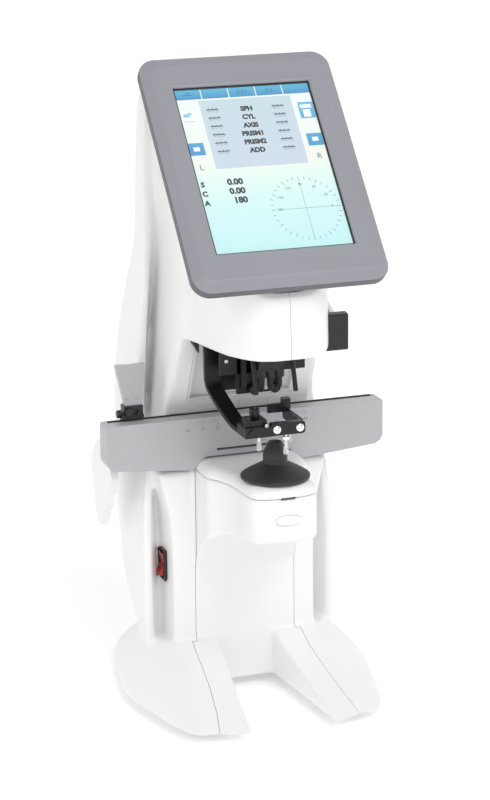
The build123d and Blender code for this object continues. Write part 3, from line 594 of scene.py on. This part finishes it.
# width, height, y
BUTTON = [(3, 1.2, -91.25), (9, 3.6, -91.2), (13, 5.2, -91.0), (15.2, 6.1, -90.6), (16, 6.5, -89.9),
          (16, 6.5, -86.0), (16, 6.5, -85.0)]
button = rings_mesh([oval_ring(width, height, y, BUTTON_Z) for width, height, y in BUTTON])
piece(to_object(button, "memory_button_skin", 60), "memory_button", "housing", ["memory_button"])

# radius, z
REST = [(0.05, 180.4), (2.2, 180.4), (3.0, 180.6), (3.5, 181.4), (3.8, 182.0), (4.3, 181.9), (5.0, 180.6),
        (6.2, 178.2), (7.3, 175.6), (7.7, 174.2), (7.7, 171.4), (7.55, 171.2), (7.55, 170.8), (7.7, 170.6),
        (7.7, 169.4), (8.0, 168.8), (9.4, 168.0), (12.4, 166.4), (16.0, 164.4), (19.4, 162.4), (21.2, 161.2),
        (21.8, 160.6), (21.8, 159.3), (21.5, 158.9), (20, 158.85), (0.05, 158.85)]
rest = to_object(lathe(REST[::-1], (0, REST_Y, 0), count=96), "lens_rest_turned", 26)
piece(rest, "housing", "rest", ["lens_rest"])


# ---------------------------------------------------------------- spectacle table
BAR_CORNER_X, BAR_CORNER_Z = 90, 180  # the upper end corners lie past these


def bar_mesh():
    """The table's bar: a long grey beam, arched over the lens rest."""
    right = [(94, 186.3), (94, 162), (92.2, 158.6), (88.8, 156.5), (36.8, 151.9), (33.2, 154.4),
             (30.0, 158.4), (27.6, 160.0)]
    outline = right + [(-x, z) for x, z in reversed(right)]
    bm = prism(outline, -13.5, 1.5, "y")
    corners = [e for e in bm.edges if abs(e.verts[0].co.y - e.verts[1].co.y) > 0.01
               and abs(e.verts[0].co.x) > BAR_CORNER_X * MM and e.verts[0].co.z > BAR_CORNER_Z * MM]
    bmesh.ops.bevel(bm, geom=corners, offset=1.6 * MM, segments=3, profile=0.5, affect="EDGES")
    bevel(bm, 1.1, 3, 24)
    return bm


bar = to_object(bar_mesh(), "table_bar_moulding")
cut(bar, box(-20.6, 20.6, -20, -6, 163.0, 165.0, 0.5, 2))
cut(bar, box(-90, 90, -3.4, -0.6, 183.3, 190))
piece(resharpen(bar, 30), "table", "table", ["table_bar"], weighted=True)
slot_lip = prism([(-20.4, 163.05), (20.4, 163.05), (20.4, 163.5), (-20.4, 163.5)], -13.35, -6.2, "y", 0.15, 2)
piece(to_object(slot_lip, "arch_slot_lip"), "table", "table")
# painted shade: the slot's floor is near black in place of the shade inside the slit
slot_floor = box(-20.5, 20.5, -7.2, -6.2, 163.05, 164.95, 0.2, 2)
piece(to_object(slot_floor, "arch_slot_floor"), "table", "table_slot_shade")


def text_mesh(words, size, at, align="CENTER", turn=None, depth=0.02, bold=0.0):
    """Generic figures as a thin mesh. Size and place are in millimetres."""
    curve = bpy.data.curves.new("figure", "FONT")
    curve.body = words
    curve.size = size * MM
    curve.align_x = align
    curve.align_y = "CENTER"
    curve.extrude = depth * MM
    curve.offset = bold * MM
    curve.resolution_u = 3
    holder = bpy.data.objects.new("figure", curve)
    scene.collection.objects.link(holder)
    mesh = bpy.data.meshes.new_from_object(holder.evaluated_get(bpy.context.evaluated_depsgraph_get()))
    bpy.data.objects.remove(holder)
    bm = bmesh.new()
    bm.from_mesh(mesh)
    bpy.data.meshes.remove(mesh)
    place = Matrix.Translation(Vector(at) * MM)
    bm.transform(place @ turn if turn is not None else place)
    return bm


UPRIGHT = Matrix.Rotation(math.radians(90), 4, "X")
scale_marks = []
for side in (-1, 1):
    for step in range(11):
        x = side * (20 + 2 * step)
        tall = 3.2 if step % 5 == 0 else 2.2
        scale_marks.append(box(x - 0.11, x + 0.11, -13.58, -13.4, 184.4 - tall, 184.4))
    for step, figure in ((0, "20"), (5, "30"), (10, "40")):
        scale_marks.append(text_mesh(figure, 3.1, (side * (20 + 2 * step), -13.54, 178.6), turn=UPRIGHT))
for x in (-9, -6, -3, 0, 3, 6, 9):
    scale_marks.append(box(x - 0.07, x + 0.07, -13.57, -13.4, 182.6, 184.2))
piece(to_object(joined(*scale_marks), "distance_scale"), "table", "ink")
piece(to_object(box(-89.6, 89.6, -3.25, -0.75, 183.5, 186.7, 0.3, 2), "slider_rail_strip"), "table", "deep",
      ["slider_rail"])

# ---------------------------------------------------------------- distance slider
SLIDER = -73.6  # x of the slider's middle, at rest
knob_outline = [(SLIDER - 4.6, 196.0), (SLIDER + 6.4, 196.0), (SLIDER + 7.6, 205), (SLIDER + 8.8, 214),
                (SLIDER + 10.2, 221.6), (SLIDER + 9.4, 222.6), (SLIDER, 221.9), (SLIDER - 9.4, 222.6),
                (SLIDER - 10.0, 221.6), (SLIDER - 7.9, 212), (SLIDER - 6.0, 203)]
knob = to_object(prism(knob_outline, -2.8, 2.0, "y", 0.7, 3), "distance_knob")
piece(knob, "pd_slider", "table", ["pd_slider_knob"], weighted=True)
ticks = [box(SLIDER + x - w, SLIDER + x + w, -2.92, -2.7, z - 0.12, z + 0.12)
         for x, w, z in ((-3.6, 1.4, 200.5), (3.4, 1.4, 201.2), (0, 0.5, 203.6))]
piece(to_object(joined(*ticks), "distance_knob_marks"), "pd_slider", "ink")
clamp = joined(
    box(SLIDER - 7.2, SLIDER + 7.2, -5.0, 4.2, 187.2, 190.4, 0.5),
    box(SLIDER - 5.6, SLIDER + 7.0, -4.0, 3.8, 190.4, 196.0, 0.6),
    box(SLIDER - 6, SLIDER + 6, 2.1, 4.2, 177, 187.3, 0.4),
    lathe([(2.4, -6.3), (2.7, -6.1), (2.7, -4.0)], (SLIDER - 2.6, 0, 192.2), "y", 24),
    lathe([(1.1, -6.9), (1.3, -6.7), (1.3, -4.0)], (SLIDER + 3.8, 0, 191.2), "y", 20),
    lathe([(2.2, -9.6), (2.6, -9.2), (2.6, -7.0)], (SLIDER, -0.8, 190.6), "x", 24),
)
piece(to_object(clamp, "distance_clamp"), "pd_slider", "black", ["pd_slider_clamp"])

# ---------------------------------------------------------------- table lever
paddle_keys = [(31, 165.5), (18, 163), (7, 155), (1.5, 147.5), (4, 143), (13, 130), (24, 115), (29, 108.9),
               (34, 107.4), (38.4, 110), (42, 119), (46, 132), (49.2, 143), (48.6, 149), (43, 157),
               (38.5, 162)]
paddle_outline = curve_through(paddle_keys, 5, first=paddle_keys[-1], last=paddle_keys[0])
closing = curve_through([paddle_keys[-1], paddle_keys[0]], 5, first=paddle_keys[-2], last=paddle_keys[1])
paddle_outline += closing[1:-1]
paddle = joined(
    prism(paddle_outline, -87.0, -82.0, "x", 1.5, 4),
    lathe([(8.6, -82.4), (8.2, -80.4), (7.6, -75.0), (7.6, -70.6)], (0, *LEVER_AXIS), "x", 48),
)
piece(to_object(paddle, "table_lever_paddle", 36), "table_lever", "housing", ["table_lever"])
COVER = [(0.2, -87.7), (3.0, -87.65), (5.6, -87.4), (6.4, -86.9), (6.4, -86.0)]
cover = lathe(COVER, (0, *LEVER_AXIS), "x", 40)
piece(to_object(cover, "table_lever_cover", 50), "table_lever", "housing")

# ---------------------------------------------------------------- lens holder
centre_line = [(-30.5, -34.5, 262), (-30.5, -34.5, 236), (-30.5, -34.6, 221), (-30.2, -35.6, 214.5),
               (-29.0, -40, 209.5), (-26.6, -51, 202.2), (-24.6, -61, 196.8), (-23.0, -68, 194.2),
               (-21.6, -73.5, 193.6), (-19, -78, 193.6)]
# across, through
ARM_SECTION = [(-5.1, -1.2), (-4.8, -1.5), (4.8, -1.5), (5.1, -1.2), (5.1, 1.2), (4.8, 1.5), (-4.8, 1.5),
               (-5.1, 1.2)]
path = [Vector(p) for p in curve_through(centre_line, 6)]
arm_rings = []
for i, point in enumerate(path):
    ahead = path[min(i + 1, len(path) - 1)] - path[max(i - 1, 0)]
    ahead.normalize()
    wide = Vector((1, 0, 0)) - ahead * ahead.x
    wide.normalize()
    thick = ahead.cross(wide)
    arm_rings.append([tuple(point + wide * a + thick * b) for a, b in ARM_SECTION])
piece(to_object(rings_mesh(arm_rings), "holder_arm_bent", 40), "lens_holder", "black_metal", ["holder_arm"],
      weighted=True)
TALL_KNOB = [(3.0, 202.2), (3.2, 202.6), (3.2, 207.6), (2.9, 208.4), (1.4, 208.9), (0.05, 209.0)]
block_parts = joined(
    box(-27, -10, -88, -72, 192, 198.6, 1.2),
    box(-24.6, -12.4, -86, -73.6, 198.6, 202.4, 0.9),
    lathe(TALL_KNOB, (-18, -79, 0), "z", 32),
    lathe([(2.2, 198.4), (2.4, 198.7), (2.4, 204.6), (2.0, 205.2), (0.05, 205.3)], (-24.4, -84, 0), "z", 28),
    lathe([(1.7, -89.3), (2.0, -89.0), (2.0, -87.8)], (-22.4, 0, 195.8), "y", 24),
)
piece(to_object(block_parts, "holder_block_machined"), "lens_holder", "black_metal", ["holder_block"])
front_bar = [(-10, 192.2), (10.2, 192.2), (11.4, 192.7), (12, 194), (12, 198), (11.4, 199.6), (10.2, 200),
             (-10, 200)]
fork = joined(
    prism(front_bar, -88, -83.6, "y", 0.5, 2),
    box(9.4, 12, -83.8, -54, 193, 200, 0.5, 2),  # side bar
    box(8.3, 13.2, -58.4, -53.4, 199.6, 206.4, 0.6, 2),  # post on its rear end
    box(-1.6, 9.6, -57.9, -55.6, 198.0, 203.6, 0.5, 2),  # bridge from the post to the middle
)
piece(to_object(fork, "holder_fork_machined"), "lens_holder", "black_metal", ["holder_fork"])


def screw(x, y, z, radius, height):
    """A cross-recessed pan-head screw that faces the operator."""
    dome = [(0.05, -height), (radius * 0.5, -height * 0.97), (radius * 0.85, -height * 0.72),
            (radius, -height * 0.3), (radius, 0.0)]
    head = to_object(lathe(dome, (x, y, z), "y", 40), "head", 60)
    long, short = radius * 0.62, radius * 0.14
    for a, b in ((long, short), (short, long)):
        cut(head, box(x - a, x + a, y - height - 1, y - height * 0.35, z - b, z + b))
    bm = bmesh.new()
    bm.from_mesh(head.data)
    bpy.data.objects.remove(head)
    return bm


screws = to_object(joined(*[screw(x, -88.0, 196, 2.7, 1.4) for x in (-6.6, 8.4)]), "fork_screw_heads", 50)
piece(screws, "lens_holder", "chrome", ["fork_screws"])
piece(to_object(joined(*[box(-18.5, -17.5, -80.2, -77.8, 208.9, 209.1), screw(-13.4, -88, 199.4, 1.3, 0.9)]),
                "holder_small_screws"), "lens_holder", "steel")
# x, y and top of each pin
PINS = [(0, -85.8, 192.4), (-13, -73, 192.4), (10.7, -62, 193.2)]
pins = joined(*[lathe([(1.0, 183.0), (1.0, top)], (x, y, 0), "z", 20) for x, y, top in PINS])
piece(to_object(pins, "holder_pin_shafts"), "lens_holder", "steel", ["holder_pins"])
# radius, z
TIP = [(0.05, 179.0), (0.9, 179.05), (1.5, 179.4), (1.75, 180.1), (1.7, 181.6), (1.45, 182.4), (1.7, 183.2),
       (1.6, 184.2), (1.1, 184.6), (0.05, 184.6)]
tips = joined(*[lathe(TIP, (x, y, 0), "z", 28) for x, y, _ in PINS])
piece(to_object(tips, "holder_pin_tips", 50), "lens_holder", "tip", ["pin_tips"])
collars = joined(*[lathe([(1.9, 188.4), (2.1, 188.6), (2.1, 190.6), (1.9, 190.8)], (x, y, 0), "z", 28)
                   for x, y, _ in PINS])
piece(to_object(collars, "holder_pin_collars"), "lens_holder", "chrome")

# ---------------------------------------------------------------- marking unit
# four walls of the guide round the holder's arm: x0, x1, y0, y1
GUIDE_WALLS = [(-37, -36.1, -40, -30), (-24.7, -22.6, -46.9, -30), (-36.1, -24.7, -40, -36.5),
               (-36.1, -24.7, -32.5, -30)]
plate = joined(
    box(-19, 8, -50, -47, 210, 264, 0.8),
    box(-30, 26, -50, -47, 223, 264, 0.8),
    *[box(*wall, 243.6, 255.9, 0.2, 2) for wall in GUIDE_WALLS],
    box(-24, -8, -31, -28.5, 208, 256, 0.6),  # shield before the lamp barrel
    box(-17, -13.6, -52, -49.6, 214, 238, 0.6),
    box(11, 15, -52, -49.6, 226, 240, 0.6),
)
piece(to_object(plate, "marking_plate_cast"), "housing", "black_metal", ["marking_plate"])
PLATE_SCREWS = [(-15, 242), (20, 242), (20, 230), (-26, 232)]
plate_screws = joined(*[screw(x, -50, z, 1.5, 1.0) for x, z in PLATE_SCREWS])
piece(to_object(plate_screws, "marking_plate_screws"), "housing", "steel")
# radius, y
KNOB = [(0.05, -55.2), (2.2, -55.1), (3.0, -54.6), (3.2, -53.8), (3.2, -52.0), (2.6, -51.6), (1.6, -51.4),
        (1.6, -49.8)]
knobs = joined(*[lathe(KNOB, (x, 0, 212.9), "y", 36) for x in (-9, 4.6)])
piece(to_object(knobs, "marking_plate_knobs", 30), "housing", "black", ["plate_screws"])
# black plate in the head's cavity: partly the real black bracket, partly painted shade for the dark inside of
# the cavity
tab = [(-41.5, 240.6), (-37.4, 233.5), (-37.4, 262), (-39.0, 262), (-39.0, 240.9)]
piece(to_object(prism(tab, -31, -25.4, "y", 0.3, 2), "head_bracket_and_shade_plate"), "housing", "black")
hook_path = [(-1.4, 222.0), (-0.2, 223.4), (1.0, 222.2), (1.2, 219.0), (0.6, 216.6), (1.3, 214.2),
             (0.8, 212.2), (-0.6, 211.6), (-1.6, 212.6), (-1.4, 215.0), (-0.9, 217.0), (-1.5, 219.4)]
hook = prism(curve_through(hook_path, 4, first=hook_path[-1], last=hook_path[0]), -51.2, -49.8, "y", 0.3, 2)
piece(to_object(hook, "cartridge_hook", 40), "housing", "hook")

# slotted arm of the carriage, round the crank's pin: y0, y1, z0, z1
SLOT_WALLS = [(-61, -56, 244.4, 257.6), (-30, -28, 244.4, 257.6), (-56, -30, 255.1, 257.6),
              (-56, -30, 244.4, 248.9)]
PEN_CUP = [(3.2, 221.5), (3.4, 222), (3.4, 227)]
carriage = joined(
    box(-16.5, 16.5, -62.5, -54.0, 240, 246, 0.7),
    box(-8.5, 8.5, -61, -55, 226, 240.4, 0.7),
    box(16.4, 29.5, -61, -54, 240, 246, 0.6),
    *[box(27, 29.5, *wall) for wall in SLOT_WALLS],
    *[lathe(PEN_CUP, (x, PEN_Y, 0), "z", 28) for x in PEN_XS],
)
piece(to_object(carriage, "pen_carriage_moulding"), "marking_carriage", "black", ["pen_carriage"])
PEN = [(0.05, 212.3), (0.7, 212.5), (1.0, 214.0), (1.9, 215.6), (2.0, 216.2), (2.0, 221.6)]
pens = joined(*[lathe(PEN, (x, PEN_Y, 0), "z", 24) for x in PEN_XS])
piece(to_object(pens, "marking_pen_tips"), "marking_carriage", "black_metal", ["marking_pens"])

grip_outline = [(-50, 232.6), (-49, 231.8), (-44, 231.8), (-43, 232.6), (-43, 254.6), (-44, 255.6),
                (-49, 255.2), (-50, 254.2)]
grip = prism(grip_outline, 41.2, 55.2, "x", 0.9, 3)
piece(to_object(grip, "marking_handle_grip"), "marking_lever", "black", ["mark_handle"],
      weighted=True)
arm_keys = [(15, 261), (10.5, 268.2), (2, 269), (-16, 260), (-35, 252), (-43.4, 247.4), (-43.4, 239.6),
            (-36, 237), (-14, 247), (8, 254.6)]
arm_outline = curve_through(arm_keys, 4, first=arm_keys[-1], last=arm_keys[0])
mark_arm = joined(
    prism(arm_outline, 49.7, 52.4, "x", 0.8, 3),
    lathe([(5.4, 52.2), (5.4, 53.2), (4.8, 53.8), (0.05, 53.9)], (0, *MARK_AXIS), "x", 40),
)
piece(to_object(mark_arm, "marking_lever_arm", 36), "marking_lever", "housing", ["mark_arm"])

# ---------------------------------------------------------------- display
# section of the bezel, from its outer rear edge over the front: inwards, out of the screen
RIM = [(0.4, -8.0), (0.1, -7.4), (0.0, -6.6), (0.0, -2.6), (0.2, -1.9), (0.7, -1.35), (1.4, -1.0), (5.6, 0.9),
       (6.2, 1.3), (6.9, 1.5), (7.8, 1.5)]
# step down to the screen: half-width, half-height, corner radius, out of the screen
INNER_RIM = [(47.6, 62.9, 1.2, 1.35), (46.9, 62.2, 1.0, 1.48), (45.7, 61.0, 0.8, 1.5),
             (45.1, 60.4, 0.6, 1.35), (44.7, 59.95, 0.4, 0.9), (44.5, 59.75, 0.3, 0.3),
             (44.5, 59.75, 0.3, -0.1)]
BEZEL_HALF_W, BEZEL_HALF_H, BEZEL_CORNER = 62.75, 84.0, 11.5
BEZEL_DROP = -0.6  # the bezel's middle lies a little below the screen's
GASKET = [(0.0, -1.7), (0.0, 0.15), (0.55, 0.15), (0.55, -1.7)]


def rounded(half_w, half_h, radius, shift, out, count=10):
    """A rounded rectangle in the screen's own frame."""
    points = []
    for turn, (sx, sy) in enumerate(((1, 1), (-1, 1), (-1, -1), (1, -1))):
        for k in range(count + 1):
            angle = math.pi / 2 * (turn + k / count)
            points.append((sx * (half_w - radius) + radius * math.cos(angle),
                           shift + sy * (half_h - radius) + radius * math.sin(angle), out))
    return points


def bezel_mesh():
    """Rings over the outer rim, down to the screen, and back along the inside."""
    rings = [rounded(BEZEL_HALF_W - inset, BEZEL_HALF_H - inset, max(2.0, BEZEL_CORNER - 0.75 * inset),
                     BEZEL_DROP, out) for inset, out in RIM]
    rings += [rounded(half_w, half_h, radius, 0.0, out) for half_w, half_h, radius, out in INNER_RIM]
    rings += [rounded(51.2, 67.2, 0.4, 0.0, out) for out in (-0.1, -4.2)]
    rings += [rounded(58.5, 79.0, 6.0, -0.5, out) for out in (-4.2, -8.0)]
    return rings_mesh(rings, closed_ends=False, closed_loop=True)


bezel = to_object(on_screen(bezel_mesh()), "display_bezel_moulding", 34)
piece(bezel, "display", "bezel", ["display_bezel"], weighted=True)
# painted shade: the side walls take the darker copy of the bezel grey
bezel.data.materials.append(M["bezel_wall_shade"])
outward = SCREEN.to_3x3() @ Vector((0, 0, 1))
to_screen = SCREEN.inverted()
SHADED_WALL_MIDDLE, SHADED_WALL_REACH = -5, 3.4  # where the bezel's side walls lie, which get the darker grey as painted shade
for face in bezel.data.polygons:
    level = (to_screen @ face.center).z
    if abs(face.normal.dot(outward)) < 0.4 and abs(level - SHADED_WALL_MIDDLE * MM) < SHADED_WALL_REACH * MM:
        face.material_index = 1
gasket = rings_mesh([rounded(44.48 - inset, 59.73 - inset, max(0.25, 0.6 - inset), 0.0, out, 3)
                     for inset, out in GASKET], closed_ends=False, closed_loop=True)
piece(to_object(on_screen(gasket), "display_gasket"), "display", "deep")


def pane(x0, x1, y0, y1, level, thick=0.015):
    """A flat area of the picture on the display, in screen millimetres."""
    return box(x0, x1, y0, y1, level - thick, level)


def glowing(name, colour, strength=1.0, low=None):
    """A lit part of the display. With a second colour it fades from low to colour up the screen."""
    mat = bpy.data.materials.new(name)
    mat.use_nodes = True
    tree = mat.node_tree
    shader = tree.nodes["Principled BSDF"]
    shader.inputs["Roughness"].default_value = 0.35
    shader.inputs["Emission Strength"].default_value = strength
    coords = tree.nodes.new("ShaderNodeTexCoord")
    split = tree.nodes.new("ShaderNodeSeparateXYZ")
    ramp = tree.nodes.new("ShaderNodeValToRGB")
    tree.links.new(coords.outputs["Generated"], split.inputs["Vector"])
    tree.links.new(split.outputs["Z"], ramp.inputs["Fac"])
    ramp.color_ramp.elements[0].color = (*(low or colour), 1)
    ramp.color_ramp.elements[1].color = (*colour, 1)
    shader.inputs["Base Color"].default_value = (*[0.15 * c for c in colour], 1)
    tree.links.new(ramp.outputs["Color"], shader.inputs["Emission Color"])
    return mat, ramp


def lit(name, bm, mat):
    """Adds one layer of the picture to the display."""
    ob = to_object(on_screen(bm), name)
    M[name] = mat
    return piece(ob, "display", name)


# levels of the picture's layers, behind the glass
BACK, PANEL, SQUARE, CARD, ICON, DETAIL, INK = -1.60, -1.55, -1.54, -1.53, -1.52, -1.51, -1.50
back_mat, back_ramp = glowing("picture_background", (0.86, 0.93, 0.95), 0.86, (0.47, 0.86, 0.86))
for position, colour in ((0.32, (0.60, 0.90, 0.88)), (0.47, (0.76, 0.93, 0.84)), (0.53, (0.86, 0.92, 0.80))):
    back_ramp.color_ramp.elements.new(position).color = (*colour, 1)
lit("picture_background", pane(-44.4, 44.4, -59.6, 59.6, BACK), back_mat)
panel_mat, _ = glowing("picture_panel", (0.58, 0.74, 0.80), 0.8, (0.62, 0.70, 0.84))
lit("picture_panel", pane(-29.6, 30.4, 1.0, 51.0, PANEL), panel_mat)
blue_mat, _ = glowing("picture_buttons", (0.10, 0.52, 0.74), 0.8, (0.02, 0.22, 0.56))
button_lefts = [-44.2 + 17.75 * i for i in range(5)]
button_panes = [pane(x, x + 17.1, 52.2, 59.4, PANEL) for x in button_lefts]
lit("picture_top_buttons", joined(*button_panes), blue_mat)
side_mat, _ = glowing("picture_squares", (0.12, 0.50, 0.78), 0.86, (0.03, 0.27, 0.58))
squares = joined(pane(-43.8, -33.6, 11.6, 20.6, SQUARE), pane(33.8, 43.8, 13.2, 22.2, SQUARE),
                 pane(33.8, 43.8, 33.4, 45.4, SQUARE))
lit("picture_squares", squares, side_mat)
white_mat, _ = glowing("picture_white", (0.92, 0.97, 0.98), 0.86)
icons = joined(
    pane(-43.0, -34.4, 33.0, 44.6, CARD), pane(36.2, 41.0, 34.4, 40.0, ICON),
    pane(35.0, 42.4, 41.0, 43.6, ICON), pane(-40.6, -36.6, 14.6, 17.6, ICON),
    pane(37.0, 41.0, 16.4, 19.4, ICON))
lit("picture_icons", icons, white_mat)
sky_mat, _ = glowing("picture_sky", (0.25, 0.62, 0.82), 0.86)
icon_ink = joined(pane(-42.2, -35.2, 36.0, 36.6, DETAIL), pane(-41.6, -37.6, 39.4, 41.8, DETAIL),
                  pane(-38.4, -36.0, 41.0, 42.6, DETAIL))
lit("picture_icon_ink", icon_ink, sky_mat)
ink_mat, _ = glowing("picture_ink", (0.004, 0.006, 0.012), 0.3)
ROWS = ["SPH", "CYL", "AXIS", "PRISM1", "PRISM2", "ADD"]
ROW_STEP = 6.1
figures = []
for row, words in enumerate(ROWS):
    figures.append(text_mesh(words, 4.6, (0.0, 43.2 - ROW_STEP * row, INK), bold=0.26))
for row in range(len(ROWS)):
    for x in (-22.0, 20.6):
        figures.append(text_mesh("***", 6.2, (x, 42.0 - ROW_STEP * row, INK), bold=0.2))
for words, y in (("0.00", -8.9), ("0.00", -15.4), ("180", -22.0)):
    figures.append(text_mesh(words, 5.8, (-15.0, y, INK), "RIGHT", bold=0.3))
for words, y in (("S", -9.6), ("C", -16.2), ("A", -22.8)):
    figures.append(text_mesh(words, 4.8, (-40.8, y, INK), bold=0.24))
lit("picture_figures", joined(*figures), ink_mat)
gray_mat, _ = glowing("picture_gray", (0.20, 0.25, 0.27), 0.6)
DIAL_X, DIAL_Y, DIAL_R = 20.6, -31.0, 22.6
dial = []
for i in range(36):
    angle = math.radians(10 * i)
    inner = DIAL_R - (2.8 if i % 3 == 0 else 1.9)
    a = Vector((math.cos(angle), math.sin(angle)))
    side = Vector((-a.y, a.x)) * 0.16
    corners = [a * inner - side, a * DIAL_R - side, a * DIAL_R + side, a * inner + side]
    dial.append(prism([(DIAL_X + p.x, DIAL_Y + p.y) for p in corners], ICON, INK, "z"))
dial += [pane(DIAL_X - 0.1, DIAL_X + 0.1, DIAL_Y - DIAL_R, DIAL_Y + DIAL_R * 0.86, INK),
         pane(DIAL_X - DIAL_R * 0.8, DIAL_X + DIAL_R, DIAL_Y - 0.1, DIAL_Y + 0.1, INK)]
FIGURE_R = 17.0
for angle in range(0, 181, 30):
    x = DIAL_X + FIGURE_R * math.cos(math.radians(angle))
    y = DIAL_Y + FIGURE_R * math.sin(math.radians(angle))
    dial.append(text_mesh(str(angle), 2.7, (x, y, INK)))
lit("picture_dial", joined(*dial), gray_mat)
letters = joined(text_mesh("L", 5.4, (-38.6, 2.6, INK)), text_mesh("R", 5.4, (38.6, 5.4, INK)),
                 text_mesh("0.01", 4.0, (0, 55.6, INK)), text_mesh("Cx", 4.0, (17.7, 55.6, INK)),
                 pane(-38.6, -32.6, 55.2, 55.7, INK), pane(-37.2, -34.0, 56.8, 57.2, INK))
lit("picture_letters", letters, glowing("picture_slate", (0.05, 0.16, 0.24), 0.6)[0])

# ---------------------------------------------------------------- carried-over nodes
# the throat panel takes the darker white as painted shade in its recess
KEPT = {
    "throat_panel": "housing_recess_shade", "rear_panel": "housing", "display_rear_housing": "housing",
    "mains_inlet": "black", "power_switch_frame": "black", "power_rocker": "rocker", "printer_port": "steel",
    "base_plate": "alloy", "rubber_feet": "rubber", "main_frame": "alloy", "table_slide_block": "alloy",
    "slide_bushes": "bronze", "sensor_barrel": "black_metal", "fold_mirror": "mirror",
    "image_sensor_board": "board", "measuring_lens": "lens", "hartmann_plate": "black_metal",
    "lamp_barrel": "black_metal",
    "collimator_lens": "lens", "lamp_board": "board", "main_board": "board", "power_supply": "psu",
    "table_back_plate": "table", "table_rods": "steel", "table_rack": "black", "table_pinion": "bronze",
    "lever_axle": "steel", "lever_bush": "bronze", "axle_bracket": "alloy", "guide_rods": "black_metal",
    "mark_axle": "steel", "mark_crank": "steel", "touch_glass": "glass", "lcd_panel": "deep",
    "hinge_bracket": "alloy", "hinge_pin": "steel",
}
for node, finish in KEPT.items():
    NODES[node].data.materials.clear()
    NODES[node].data.materials.append(M[finish])

# ---------------------------------------------------------------- floor, light and camera
bm = bmesh.new()
# y, z: flat floor that curves up into a wall
backdrop = [(-2500, 0), (900, 0), (1500, 60), (1900, 300), (2050, 800), (2100, 2600)]
strip = [[bm.verts.new((x * MM, y * MM, z * MM)) for x in (-4000, 4000)]
         for y, z in curve_through(backdrop, 8)]
for a, b in zip(strip, strip[1:]):
    bm.faces.new((a[0], a[1], b[1], b[0]))
floor = to_object(bm, "floor", 80)
M["floor"] = material("floor_white", (0.97, 0.97, 0.97), 0.7, bump=0.02, vary=0.003, glow=0.19)
floor.data.materials.append(M["floor"])

world = bpy.data.worlds.new("studio")
world.use_nodes = True
world.node_tree.nodes["Background"].inputs["Color"].default_value = (1.0, 1.0, 1.0, 1)
world.node_tree.nodes["Background"].inputs["Strength"].default_value = 0.62
scene.world = world
scene.view_settings.view_transform = "Standard"


def softbox(name, at, size, power):
    """A rectangular lamp that points at the lower body. Place and size are in metres."""
    lamp = bpy.data.lights.new(name, "AREA")
    lamp.shape = "RECTANGLE"
    lamp.size, lamp.size_y = size
    lamp.energy = power
    holder = bpy.data.objects.new(name, lamp)
    holder.location = at
    holder.rotation_euler = (Vector((0, 0, 0.2)) - Vector(at)).to_track_quat("-Z", "Y").to_euler()
    scene.collection.objects.link(holder)


softbox("over_front", (0.3, -1.6, 2.0), (1.4, 1.0), 19)
softbox("low_front", (-0.35, -2.3, 0.75), (1.2, 1.0), 4.3)
softbox("left_side", (-1.8, -0.9, 0.9), (1.0, 1.6), 7.3)
softbox("right_side", (2.0, -0.4, 0.8), (1.0, 1.6), 5.4)

azimuth, elevation, roll = math.radians(-19.11), math.radians(15.53), math.radians(-0.59)
flat = math.cos(elevation)
back = Vector((math.sin(azimuth) * flat, -math.cos(azimuth) * flat, math.sin(elevation)))
right_way = Vector((math.cos(azimuth), math.sin(azimuth), 0))
up_way = back.cross(right_way)
rolled_right = right_way * math.cos(roll) + up_way * math.sin(roll)
rolled_up = up_way * math.cos(roll) - right_way * math.sin(roll)
TARGET, DISTANCE = Vector((0.59, -8.0, 193.5)), 1591
place = (TARGET + back * DISTANCE) * MM
camera = bpy.data.cameras.new("camera")
camera.lens = 111.44
camera.sensor_width = 36
camera.clip_end = 20
view = bpy.data.objects.new("camera", camera)
view.matrix_world = Matrix((
    (rolled_right.x, rolled_up.x, back.x, place.x),
    (rolled_right.y, rolled_up.y, back.y, place.y),
    (rolled_right.z, rolled_up.z, back.z, place.z),
    (0, 0, 0, 1),
))
scene.collection.objects.link(view)
scene.camera = view
